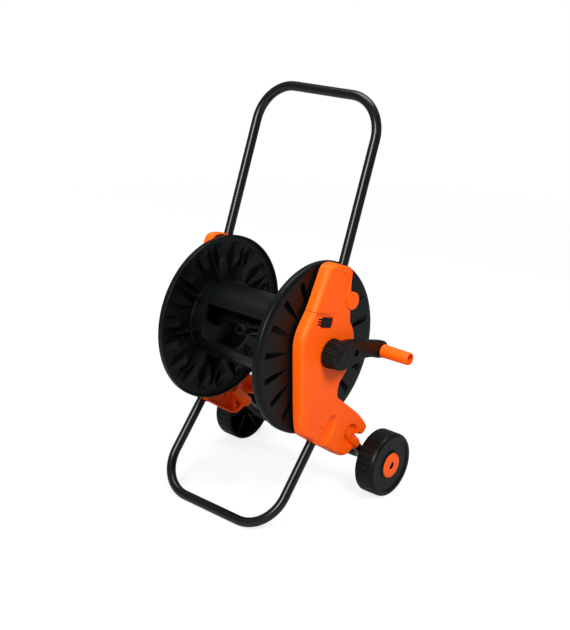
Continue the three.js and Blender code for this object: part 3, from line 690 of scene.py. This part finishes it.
# Orange polypropylene: satin, with a fine mould texture and very slight flow marks.
orange = Finish("satin orange polypropylene", Specular_IOR_Level=0.16)
flow = orange.grain(7.0, 3.0)
fine = orange.grain(900.0)
orange.feed(orange.surface["Base Color"], orange.tint(flow, shade(246, 84, 5), shade(252, 94, 10)))
orange.feed(orange.surface["Roughness"], 0.34 + 0.08 * flow)
orange.feed(orange.surface["Normal"], orange.bump(fine, 0.05, 0.0002))
orange_plastic = orange.material

pair("side moulding", side_frame(), orange_plastic, "frame", "orange_plastic", "side_frame")

# ---------- handle caps ----------
# The top of each side is a separate orange moulding, fixed on the handle's leg. It folds down
# with the handle about a steel pin, and its parting line shows as a thin dark seam.


CAP_SCOOP = ((49, 131), HANDLE_TILT, 32, 10, 9)


def handle_cap():
    y, z = HINGE
    cover = tube_cover(along(handle_end, HANDLE_TILT, -6), along(HANDLE_BASE, HANDLE_TILT, -11))
    cover = carved(cover, ("INTERSECT", above_seam(0)))
    way = tube_way(along(handle_end, HANDLE_TILT, -GAP), handle_top)
    ear = cross_rod(FRAME_IN_X + 1, 161.4, 17.7, y, z)
    tie_side = [(y - 22, z + 2, 0), (y - 8, z + 2, 0), (y + 4, z + 40, 0), (y - 30, z + 40, 0)]
    tie = slab(tie_side, FRAME_IN_X + 1, 161.4)
    tongue = at_latch(group(block(163, 166, -9, 9, 13.4, 35), block(165, 170, -9, 9, 31, 35)))
    return carved(
        shell(),
        ("UNION", backed(scoop(*CAP_SCOOP, BACKING))),
        ("INTERSECT", above_seam(0)),
        ("DIFFERENCE", scoop(*CAP_SCOOP)),
        ("UNION", cover),
        ("DIFFERENCE", cross_rod(161.4, 200, HINGE_CLEAR_R, y, z)),
        ("UNION", ear),
        ("UNION", tie),
        ("DIFFERENCE", cross_rod(100, 200, HINGE_BORE_R, y, z)),
        ("DIFFERENCE", way),
        ("DIFFERENCE", snap_tongue((40, 157), HANDLE_TILT, 15, 17)),
        ("UNION", tongue),
    )


pair("handle cap", handle_cap(), orange_plastic, "handle", "orange_plastic", "handle_cap")

# ---------- hinge pins and latches ----------
# A steel pin pressed into each frame's round boss carries the cap. Below the seam a square black
# push button, sprung from inside, holds the handle up; its front side has a comb for the thumb.

metal = Finish("zinc-plated steel", Metallic=1.0)
smear = metal.grain(30.0, 4.0)
zinc_tint = metal.tint(smear, shade(168, 170, 172), shade(202, 203, 204))
metal.feed(metal.surface["Base Color"], zinc_tint)
metal.feed(metal.surface["Roughness"], 0.24 + 0.12 * smear)
zinc_steel = metal.material

pin = turned(
    [
        (FRAME_IN_X + 1, 0),
        (FRAME_IN_X + 1, 3.6),
        (FRAME_IN_X + 1.4, 4),
        (171.1, 4),
        (171.5, 3.6),
        (171.5, 0),
    ],
    48,
    *HINGE,
)
pair("hinge pin", pin, zinc_steel, "frame", "steel", "hinge_pin")

# Black polypropylene: deep satin black with a fine grain.
black = Finish("satin black polypropylene", Specular_IOR_Level=0.16)
mottle = black.grain(9.0, 3.0)
leather = black.grain(1100.0)
black.feed(black.surface["Base Color"], black.tint(mottle, shade(6, 9, 8), shade(10, 13, 12)))
black.feed(black.surface["Roughness"], 0.3 + 0.12 * mottle)
black.feed(black.surface["Normal"], black.bump(leather, 0.05, 0.0002))
black_plastic = black.material


def push_button():
    bm = side_shape([(-16, 10, 2), (-16, -10, 2), (16, -10, 2), (16, 10, 2)], 159)
    round_over(bm, thicken(bm, 159, FRAME_OUT_X - 1), 2, 2, 4)
    collar = block(165.7, 168.7, -18.5, 18.5, -12.8, 9.8)
    hook = block(158.7, 161.7, -10, 10, -12.8, 22)
    teeth = [
        ("UNION", block(166, FRAME_OUT_X - 1.6, -25, -14, z - 1.2, z + 1.2)) for z in LATCH_TEETH
    ]
    return at_latch(carved(cleaned(bm), ("UNION", collar), ("UNION", hook), *teeth))


pair("latch push button", push_button(), black_plastic, "latch_{}", "black_plastic", "latch_button")

# ---------- bearing bushes ----------
# A flanged nylon sleeve in each frame carries one of the reel's journals.

nylon = Finish("natural nylon", Specular_IOR_Level=0.4, Roughness=0.5)
cloud = nylon.grain(25.0)
nylon_tint = nylon.tint(cloud, shade(206, 203, 194), shade(222, 220, 212))
nylon.feed(nylon.surface["Base Color"], nylon_tint)
bush = turned(
    [
        (FRAME_OUT_X, 14),
        (FRAME_OUT_X, 18.2),
        (FRAME_OUT_X - 0.5, 18.7),
        (145.7, 18.7),
        (145.7, 22.5),
        (145.2, 23),
        (143.4, 23),
        (143.4, 14),
    ]
)
pair("bearing sleeve", bush, nylon.material, "frame", "nylon", "bearing_bush")

# ---------- flanges ----------
# Two dished discs of black polypropylene close the drum. Each is stiffened by eighteen hollow
# wedges pressed in towards the drum, by nine thin gussets between them and the hub ring, and by
# a rolled rim. The core's thirds are screwed to wells in the hub ring.

WEB_IN_X = 136.8
WEB_OUT_X = 139.4
POCKETS = 18
WELL_R = 68
CORE_ANGLES = (110, 230, 350)

RIM = [
    (WEB_OUT_X, 87),
    (WEB_OUT_X, 168),
    (WEB_OUT_X - 0.2, 171),
    (138.2, 175.4),
    (136.8, 177.6),
    (134.8, 178.8),
    (132.5, 179),
    (125.5, 179),
    (124, 178.4),
    (123.5, 177),
    (123.6, 175.6),
    (124.4, 174.9),
    (131.5, 174.6),
    (134, 173),
    (136, 169.5),
    (WEB_IN_X, 165),
    (WEB_IN_X, 87),
]
HUB_RING = [
    (WEB_OUT_X, 14),
    (WEB_OUT_X, 90),
    (WEB_IN_X, 90),
    (WEB_IN_X, 86),
    (134.5, 84.2),
    (105, 84),
    (105, 75),
    (134.5, 75),
    (WEB_IN_X, 74),
    (WEB_IN_X, 20),
    (118, 20),
    (118, 14),
]


def wedge(degrees, wall):
    """A hollow wedge or, with a wall, its inside: steep near the rim, long towards the hub."""
    bm = bmesh.new()
    outside = WEB_OUT_X + (6 if wall else -0.5)
    for radius, rise, half in ((163, 0, 8.8), (134, -12.6, 8.3), (91, 0, 3)):
        shift = (1 if radius < 134 else -1) * wall * 1.4 if rise == 0 else 0
        for sign in (-1, 1):
            for x in (WEB_IN_X + rise + wall, outside):
                bm.verts.new((x, radius + shift, sign * (half - wall)))
    bmesh.ops.convex_hull(bm, input=bm.verts)
    bmesh.ops.rotate(bm, matrix=spoke_turn(degrees), verts=bm.verts)
    return bm


def gusset(degrees):
    """A thin triangle from the hub ring up to the web."""
    bm = bmesh.new()
    corners = [(107.5, 82), (138, 82), (138, 163)]
    face = bm.faces.new([bm.verts.new((x, r, -1.1)) for x, r in corners])
    made = bmesh.ops.extrude_face_region(bm, geom=[face])["geom"]
    verts = of_kind(BMVert, made)
    bmesh.ops.translate(bm, vec=(0, 0, 2.2), verts=verts)
    bmesh.ops.rotate(bm, matrix=spoke_turn(degrees), verts=bm.verts)
    return cleaned(bm)


def well_place(degrees):
    return WELL_R * math.cos(math.radians(degrees)), WELL_R * math.sin(math.radians(degrees))


def flange(first_pocket):
    pockets = [first_pocket + 20 * i for i in range(POCKETS)]
    gussets = [first_pocket + 10 + 40 * i for i in range(9)]
    bosses = [cross_rod(105, WEB_OUT_X - 1, 9, *well_place(a), sides=32) for a in CORE_ANGLES]
    wells = [cross_rod(110, 150, 6.4, *well_place(a), sides=32) for a in CORE_ANGLES]
    holes = [cross_rod(90, 150, 2.4, *well_place(a), sides=24) for a in CORE_ANGLES]
    disc = carved(turned(RIM, 180), ("UNION", turned(HUB_RING, 144)))
    return carved(
        disc,
        ("UNION", group(*[wedge(a, 0) for a in pockets])),
        ("UNION", group(*[gusset(a) for a in gussets])),
        ("DIFFERENCE", group(*[wedge(a, 1.9) for a in pockets])),
        ("UNION", group(*bosses)),
        ("DIFFERENCE", group(*wells)),
        ("DIFFERENCE", group(*holes)),
    )


piece("flange right", flange(9.8), black_plastic, "reel", "black_plastic", "flange_right", sharp=28)
left = to_other_side(flange(10.9))
piece("flange left", left, black_plastic, "reel", "black_plastic", "flange_left", sharp=28)

# ---------- drive stub ----------
# A black plastic journal plugs into the right flange's sleeve against its collar, runs in the
# nylon bearing and ends in the square that the crank sits on.


def journal():
    return turned(
        [
            (113, 0),
            (113, 16.4),
            (113.6, 17),
            (117.7, 17),
            (117.7, 13.5),
            (173.4, 13.5),
            (174, 12.9),
            (174, 0),
        ]
    )


spigot = block(150, 181.7, -8, 8, -8, 8)
stub = carved(journal(), ("UNION", spigot), ("DIFFERENCE", cross_rod(140, 190, 3.3)))
piece("drive stub", stub, black_plastic, "reel", "black_plastic", "drive_stub")

# ---------- core panels ----------
# The drum's core is three arched panels with turned-in edges, so that the windows between them
# leave the hose's connector in reach. A screw at each end holds a panel to the flanges.

CORE_R = 82
CORE_HALF = 104.7


def core_panel(middle):
    bm = bmesh.new()
    edge = [bm.verts.new((-CORE_HALF, r, 0)) for r in (CORE_R, CORE_R - 2.6)]
    strip = bm.edges.new(edge)
    bmesh.ops.rotate(bm, matrix=spoke_turn(middle - 30), verts=bm.verts)
    bmesh.ops.spin(bm, geom=edge + [strip], axis=(1, 0, 0), angle=math.radians(60), steps=24)
    for side in (-1, 1):
        turn = spoke_turn(middle + side * 30)
        way = turn @ Vector((0, -6.4, 0))
        here = turn @ Vector((-CORE_HALF, CORE_R - 2.6, 0))
        inner = [
            e for e in bm.edges
            if e.is_boundary
            and any((v.co - here).length < 0.01 for v in e.verts)
            and all(abs(Vector((0, *v.co[1:])).length - CORE_R + 2.6) < 0.05 for v in e.verts)
        ]
        made = bmesh.ops.extrude_edge_only(bm, edges=inner)["geom"]
        verts = of_kind(BMVert, made)
        bmesh.ops.translate(bm, vec=way, verts=verts)
    made = bmesh.ops.extrude_face_region(bm, geom=bm.faces[:])["geom"]
    verts = of_kind(BMVert, made)
    bmesh.ops.translate(bm, vec=(2 * CORE_HALF, 0, 0), verts=verts)
    bm = cleaned(bm)
    posts = []
    for side in (-1, 1):
        low, high = sorted((side * CORE_HALF, side * (CORE_HALF - 32)))
        post = cross_rod(low, high, 6.5, WELL_R, 0, sides=32)
        web = block(low, high, WELL_R, CORE_R - 1.5, -2, 2)
        hole = cross_rod(low - 1, high + 1, 2.4, WELL_R, 0, sides=24)
        posts.append(carved(post, ("UNION", web), ("DIFFERENCE", hole)))
    posts = group(*posts)
    bmesh.ops.rotate(posts, matrix=spoke_turn(middle), verts=posts.verts)
    return carved(bm, ("UNION", posts))


def pan_screw(head_x, head_r, head_h, shank_r, length):
    """A screw along X with its domed, cross-slotted head at head_x."""
    bm = turned(
        [
            (head_x - length, 0),
            (head_x - length + 3, shank_r),
            (head_x, shank_r),
            (head_x, head_r),
            (head_x + head_h * 0.45, head_r * 0.97),
            (head_x + head_h * 0.85, head_r * 0.7),
            (head_x + head_h, head_r * 0.3),
            (head_x + head_h, 0),
        ],
        32,
    )
    top = head_x + head_h
    reach = head_r * 0.5
    slots = [
        block(top - 1.6, top + 1, -reach, reach, -0.6, 0.6),
        block(top - 1.6, top + 1, -0.6, 0.6, -reach, reach),
    ]
    return carved(bm, ("DIFFERENCE", slots[0]), ("DIFFERENCE", slots[1]))


for i, angle in enumerate(CORE_ANGLES, 1):
    title = f"core panel {i} arched"
    piece(title, core_panel(angle), black_plastic, "reel", "black_plastic", f"core_panel_{i}")
    fixing = pan_screw(110.3, 5, 3.4, 2, 28)
    bmesh.ops.translate(fixing, vec=(0, *well_place(angle)), verts=fixing.verts)
    pair(f"core screw {i}", fixing, zinc_steel, "reel", "steel", f"core_screw_{i}")

# ---------- water way ----------
# Water comes in through a swivelling elbow, runs through the left journal and along the axle
# inside the core, and leaves in a window by a black threaded nipple that takes the hose.

OUTLET_X = -8
OUTLET_ANGLE = 163


def outward(radius):
    """A point inside the drum on the outlet's line."""
    angle = math.radians(OUTLET_ANGLE)
    return OUTLET_X, radius * math.cos(angle), radius * math.sin(angle)


pipe = carved(
    to_other_side(journal()),
    ("UNION", cross_rod(-114, OUTLET_X + 9, 9)),
    ("UNION", rod(outward(0), outward(52), 9)),
    ("DIFFERENCE", cross_rod(-178, -150, 8)),
    ("DIFFERENCE", cross_rod(-151, OUTLET_X, 6)),
    ("DIFFERENCE", rod(outward(0), outward(60), 6)),
)
piece("water pipe with journal", pipe, black_plastic, "reel", "black_plastic", "water_pipe")

thread = [rod(outward(r), outward(r + 1), 10.6, stop_radius=9.4) for r in (66, 68, 70, 72, 74)]
nipple = carved(
    rod(outward(52.3), outward(61), 13, sides=6),
    ("UNION", rod(outward(60), outward(77), 9.6)),
    ("UNION", group(*thread)),
    ("DIFFERENCE", rod(outward(50), outward(80), 6.2)),
)
piece("hose nipple", nipple, black_plastic, "reel", "black_plastic", "hose_outlet")

ELBOW_X = 192


def drop(top, bottom, radius):
    return rod((ELBOW_X, 0, top), (ELBOW_X, 0, bottom), radius)


elbow = carved(
    cross_rod(152, 182, 7.5),
    ("UNION", turned([(178, 0), (178, 13), (179, 14), (203.5, 14), (205, 12.5), (205, 0)], 72)),
    ("UNION", drop(-8, -24, 11)),
    ("UNION", drop(-23, -50, 8)),
    ("UNION", drop(-31, -34, 9.6)),
    ("DIFFERENCE", cross_rod(140, ELBOW_X, 5)),
    ("DIFFERENCE", drop(0, -60, 5)),
    ("DIFFERENCE", turned([(158, 6.2), (158, 9), (161, 9), (161, 6.2)], 64)),
)
inlet = to_other_side(elbow)
elbow.free()
piece("inlet elbow swivelling", inlet, black_plastic, "inlet", "black_plastic", "inlet_elbow")

seal = to_other_side(turned([(158.4, 6.5), (158.4, 7.7), (160.6, 7.7), (160.6, 6.5)], 64))
rubber = Finish("black rubber", Specular_IOR_Level=0.3, Roughness=0.75)
dust = rubber.grain(120.0)
rubber.feed(rubber.surface["Base Color"], rubber.tint(dust, shade(14, 14, 15), shade(24, 24, 25)))
piece("inlet seal ring", seal, rubber.material, "inlet", "seal_rubber", "inlet_seal")

# ---------- crank ----------
# A black arm with a fluted hub sits on the drive stub's square end under a screw and a snap
# cap. At its tip an orange grip with an open end turns on a riveted steel pin.

CRANK_PIN = (134.5, -24.5)
CRANK_ARM_X = 192  # back of the arm
CRANK_FACE_X = 204
GRIP_END_X = 272


def fluted_hub():
    bm = bmesh.new()
    lobes = 30
    ring = bmesh.ops.create_circle(bm, cap_ends=True, segments=lobes * 6, radius=31)["verts"]
    for i, vert in enumerate(sorted(ring, key=lambda v: math.atan2(v.co.y, v.co.x))):
        wave = (0, 0, 0, 1, 1.4, 1)[i % 6]
        vert.co = vert.co * ((31 - wave) / 31)
    bmesh.ops.rotate(bm, matrix=Matrix.Rotation(math.pi / 2, 3, "Y"), verts=bm.verts)
    bmesh.ops.translate(bm, vec=(174.5, 0, 0), verts=bm.verts)
    face = bm.faces[:][0]
    for x, radius in ((201.2, 27.6), (202.4, 26.8), (203, 25.6)):
        made = bmesh.ops.extrude_face_region(bm, geom=[face])["geom"]
        old = face
        face = of_kind(BMFace, made)[0]
        verts = list(face.verts)
        now = sum(Vector((0, *v.co[1:])).length for v in verts) / len(verts)
        bmesh.ops.translate(bm, vec=(x - verts[0].co.x, 0, 0), verts=verts)
        bmesh.ops.scale(bm, vec=(1, radius / now, radius / now), verts=verts)
        if old.is_valid and x > 201.2:
            bmesh.ops.delete(bm, geom=[old], context="FACES_ONLY")
    return cleaned(bm)


def crank_arm():
    py, pz = CRANK_PIN
    corners = [
        (-20, 24, 14),
        (-20, -24, 14),
        (14, -34, SOFT),
        (48, -24, SOFT),
        (py - 42, pz - 1, SOFT),
        (py - 8, pz - 16, SOFT),
        (py + 17, pz - 15, 14),
        (py + 16, pz + 16, 14),
        (py - 14, pz + 26, SOFT),
        (58, 19, SOFT),
        (16, 31, SOFT),
    ]
    bm = side_shape(corners, CRANK_ARM_X)
    round_over(bm, thicken(bm, CRANK_ARM_X, CRANK_FACE_X - 3.5), 2.8, 3.5, 5)
    seat = 8.3
    return carved(
        cleaned(bm),
        ("UNION", fluted_hub()),
        ("DIFFERENCE", turned([(199, 0), (199, 7), (203, 7), (208, 8.5), (208, 0)], 48, 45, -5)),
        ("DIFFERENCE", cross_rod(197, 210, 16.3)),
        ("DIFFERENCE", cross_rod(185, 210, 8)),
        ("DIFFERENCE", cross_rod(170, 210, 3.3)),
        ("DIFFERENCE", block(170, 182, -seat, seat, -seat, seat)),
        ("DIFFERENCE", cross_rod(170, 210, 5.3, py, pz)),
    )


piece("crank arm with hub", crank_arm(), black_plastic, "reel", "black_plastic", "crank_arm")
screw = pan_screw(185.3, 7, 3.2, 3, 34)
piece("crank fixing screw", screw, zinc_steel, "reel", "steel", "crank_screw")
cap = turned(
    [
        (197.3, 0),
        (197.3, 16),
        (203.4, 16),
        (204.4, 15.4),
        (204.8, 14.4),
        (204.4, 13.4),
        (204.2, 12.6),
        (204.8, 11.6),
        (205, 0),
    ]
)
piece("crank snap cap", cap, black_plastic, "reel", "black_plastic", "crank_cap")
pin = turned(
    [
        (188.4, 0),
        (188.4, 7),
        (189, 8),
        (191.7, 8),
        (191.7, 5),
        (258, 5),
        (258, 7),
        (261, 6),
        (262, 4),
        (262, 0),
    ],
    48,
    *CRANK_PIN,
)
piece("crank pin riveted", pin, zinc_steel, "reel", "steel", "crank_pin")
grip = turned(
    [
        (205.3, 5.4),
        (205.3, 13.8),
        (205.9, 14.4),
        (209.4, 14.4),
        (210.4, 14.1),
        (211.4, 13.8),
        (240, 13.6),
        (262, 13.3),
        (269.6, 13),
        (GRIP_END_X - 0.8, 12.5),
        (GRIP_END_X, 11.6),
        (GRIP_END_X, 10.8),
        (271.4, 10.1),
        (257.7, 9.8),
        (257.7, 5.4),
    ],
    72,
    *CRANK_PIN,
)
piece("crank grip turning", grip, orange_plastic, "grip", "orange_plastic", "crank_grip")

# ---------- wheels ----------
# Two one-piece black plastic wheels turn on a steel rod that runs through the rear tube. Their
# tread is grooved over its inner three quarters, and an orange cap with a hole snaps into each
# face. A plain sleeve spaces each wheel off its frame and a push nut keeps it on.

WHEEL_IN_X = 183.5
WHEEL_OUT_X = 228.5
WHEEL_CAP_R = 27.5
SEAT_X = WHEEL_OUT_X - 5.5
TREADS = 32
GROOVE_END_X = WHEEL_IN_X + 33

TYRE = [
    (WHEEL_IN_X, 65),
    (WHEEL_IN_X, 67.5),
    (WHEEL_IN_X + 0.8, 69.4),
    (WHEEL_IN_X + 2.4, 70),
    (WHEEL_OUT_X - 9, 70),
    (WHEEL_OUT_X - 5, 69.6),
    (WHEEL_OUT_X - 2.2, 68.3),
    (WHEEL_OUT_X - 0.6, 66),
    (WHEEL_OUT_X, 63),
    (WHEEL_OUT_X, 59.5),
    (WHEEL_OUT_X - 0.5, 58.2),
    (WHEEL_OUT_X - 3, 55.6),
    (SEAT_X - 2.5, 55),
    (SEAT_X - 2.5, 62),
]
DISC = [
    (WHEEL_OUT_X - 3, 58),
    (WHEEL_OUT_X - 3.2, WHEEL_CAP_R + 9),
    (WHEEL_OUT_X - 2.4, WHEEL_CAP_R + 7),
    (WHEEL_OUT_X - 0.4, WHEEL_CAP_R + 4),
    (WHEEL_OUT_X, WHEEL_CAP_R + 3),
    (WHEEL_OUT_X, WHEEL_CAP_R + 1.3),
    (WHEEL_OUT_X - 0.4, WHEEL_CAP_R + 0.9),
    (SEAT_X, WHEEL_CAP_R + 0.9),
    (SEAT_X, 6.3),
    (179, 6.3),
    (179, 12.5),
    (SEAT_X - 2.5, 14),
    (SEAT_X - 2.5, 58),
]


def tread_groove(degrees):
    bm = bmesh.new()
    for x in (WHEEL_IN_X - 5, GROOVE_END_X):
        deep = 68.2 if x < WHEEL_IN_X else 68.6
        for r, w in ((72, -3.2), (72, 3.2), (deep, -0.7), (deep, 0.7)):
            bm.verts.new((x, r, w))
    bmesh.ops.convex_hull(bm, input=bm.verts)
    bmesh.ops.rotate(bm, matrix=spoke_turn(degrees), verts=bm.verts)
    return bm


def wheel():
    rib_set = []
    for step in range(6):
        rib = block(WHEEL_IN_X + 8, SEAT_X - 2, 12, 64, -1.3, 1.3)
        bmesh.ops.rotate(rib, matrix=spoke_turn(60 * step), verts=rib.verts)
        rib_set.append(rib)
    bm = carved(
        turned(TYRE, 216),
        ("UNION", turned(DISC, 144)),
        ("UNION", group(*rib_set)),
        ("DIFFERENCE", group(*[tread_groove(6 + 360 / TREADS * i) for i in range(TREADS)])),
    )
    bmesh.ops.translate(bm, vec=(0, *AXLE), verts=bm.verts)
    return bm


pair("moulded wheel", wheel(), black_plastic, "wheel_{}", "black_plastic", "wheel", sharp=26)
cap = turned(
    [
        (SEAT_X + 0.3, WHEEL_CAP_R - 1.3),
        (SEAT_X + 0.3, WHEEL_CAP_R),
        (WHEEL_OUT_X - 0.6, WHEEL_CAP_R),
        (WHEEL_OUT_X + 0.5, WHEEL_CAP_R - 0.9),
        (WHEEL_OUT_X + 1, WHEEL_CAP_R - 2.5),
        (WHEEL_OUT_X + 1.4, 20),
        (WHEEL_OUT_X + 1.5, 9),
        (WHEEL_OUT_X + 1.2, 8.2),
        (WHEEL_OUT_X + 0.6, 7.9),
        (WHEEL_OUT_X - 0.4, 7.9),
        (WHEEL_OUT_X - 1.2, WHEEL_CAP_R - 1.3),
    ],
    96,
    *AXLE,
)
pair("wheel snap cap", cap, orange_plastic, "wheel_{}", "orange_plastic", "wheel_cap")
ROD_END = WHEEL_OUT_X - 3.2
rod_mesh = turned(
    [
        (-ROD_END, 0),
        (-ROD_END, 5.2),
        (0.8 - ROD_END, 6),
        (ROD_END - 0.8, 6),
        (ROD_END, 5.2),
        (ROD_END, 0),
    ],
    48,
    *AXLE,
)
piece("axle rod turned", rod_mesh, zinc_steel, "frame", "steel", "axle_rod")
sleeve = turned([(163.5, 6.7), (163.5, 9), (178.7, 9), (178.7, 6.7)], 48, *AXLE)
pair("axle sleeve", sleeve, black_plastic, "frame", "black_plastic", "axle_spacer")
nut_profile = [(0.3, 6.7), (0.3, 11), (1.4, 11), (2, 9), (2, 6.7)]
nut = turned([(SEAT_X + x, r) for x, r in nut_profile], 48, *AXLE)
pair("push nut pressed", nut, zinc_steel, "frame", "steel", "push_nut")

# ---------- floor, light and camera ----------
# A plain white floor under soft lamps: a tall panel in front, one up on the right, a strip
# above and a weak fill on the left, with the camera at the cart's right front corner.

low, high = cad_box
middle = (Vector(low) + Vector(high)) / 2

bm = bmesh.new()
bmesh.ops.create_circle(bm, cap_ends=True, segments=96, radius=14)
mesh = bpy.data.meshes.new("floor")
bm.to_mesh(mesh)
bm.free()
floor = bpy.data.objects.new("floor", mesh)
bpy.context.scene.collection.objects.link(floor)
paper = Finish("white studio floor", Roughness=1.0, Specular_IOR_Level=0.0)
path = paper.add("LightPath")
grey, white = (0.36, 0.36, 0.36, 1), (0.9, 0.9, 0.9, 1)
paper.feed(paper.surface["Base Color"], paper.tint(path[0], grey, white))
away = paper.add("VectorMath", {"operation": "LENGTH"}, {0: paper.place()})[0]
far = paper.add("MapRange", {}, {"Value": away, "From Min": 0.7, "From Max": 3.0})[0]
glow = paper.add("Emission", {}, {"Color": (1, 1, 1, 1), "Strength": 1.0})[0]
mixer = paper.nodes.new("ShaderNodeMixShader")
paper.feed(mixer.inputs[0], path[0] * (0.78 + 0.22 * far) + path[3] * 0.05)
paper.links.new(paper.nodes["Principled BSDF"].outputs[0], mixer.inputs[1])
paper.links.new(glow.socket, mixer.inputs[2])
paper.links.new(mixer.outputs[0], paper.nodes["Material Output"].inputs["Surface"])
mesh.materials.append(paper.material)

world = bpy.data.worlds.new("studio")
bpy.context.scene.world = world
world.use_nodes = True
tree = world.node_tree
background = tree.nodes["Background"]
rays = tree.nodes.new("ShaderNodeLightPath")
choice = tree.nodes.new("ShaderNodeMix")
choice.data_type = "RGBA"
seen_by = tree.nodes.new("ShaderNodeMath")
seen_by.operation = "MULTIPLY_ADD"
tree.links.new(rays.outputs["Is Glossy Ray"], seen_by.inputs[0])
seen_by.inputs[1].default_value = 0.05
tree.links.new(rays.outputs["Is Camera Ray"], seen_by.inputs[2])
tree.links.new(seen_by.outputs[0], choice.inputs[0])
choice.inputs[6].default_value = (0.2, 0.205, 0.22, 1)
choice.inputs[7].default_value = (1, 1, 1, 1)
tree.links.new(choice.outputs[2], background.inputs["Color"])


def soft_lamp(name, place, size, power, mirrored=True):
    light = bpy.data.lights.new(name, "AREA")
    light.shape = "RECTANGLE"
    light.size, light.size_y = size
    light.energy = power
    lamp = bpy.data.objects.new(name, light)
    bpy.context.scene.collection.objects.link(lamp)
    lamp.location = place
    lamp.visible_glossy = mirrored
    aim = Vector((middle.x, middle.y, 0.4)) - Vector(place)
    lamp.rotation_euler = aim.to_track_quat("-Z", "Y").to_euler()


soft_lamp("tall panel in front", (0.3, -2.6, 2.1), (1.4, 1.5), 88)
soft_lamp("panel on the right", (2.3, -0.6, 2.9), (1.3, 1.3), 115, mirrored=False)
soft_lamp("strip above", (-0.4, 0.4, 3.0), (2.2, 1.2), 44)
soft_lamp("weak panel on the left", (-2.8, 0.6, 1.5), (1.6, 1.6), 26, mirrored=False)

lens = bpy.data.cameras.new("camera")
lens.sensor_fit = "HORIZONTAL"
lens.sensor_width = 36
lens.lens = 73.56
camera = bpy.data.objects.new("camera", lens)
bpy.context.scene.collection.objects.link(camera)
azimuth, elevation, roll = (math.radians(a) for a in (40.84, 19.72, 1.27))
back = Vector(
    (
        math.sin(azimuth) * math.cos(elevation),
        -math.cos(azimuth) * math.cos(elevation),
        math.sin(elevation),
    )
)
right = (-back).cross(Vector((0, 0, 1))).normalized()
up = right.cross(-back)
right, up = (
    right * math.cos(roll) + up * math.sin(roll),
    up * math.cos(roll) - right * math.sin(roll),
)
turn = Matrix((right, up, back)).transposed().to_4x4()
camera.matrix_world = Matrix.Translation(REEL + Vector((1.5114, -1.6894, 0.8501))) @ turn
bpy.context.scene.camera = camera
bpy.context.scene.view_settings.view_transform = "Standard"
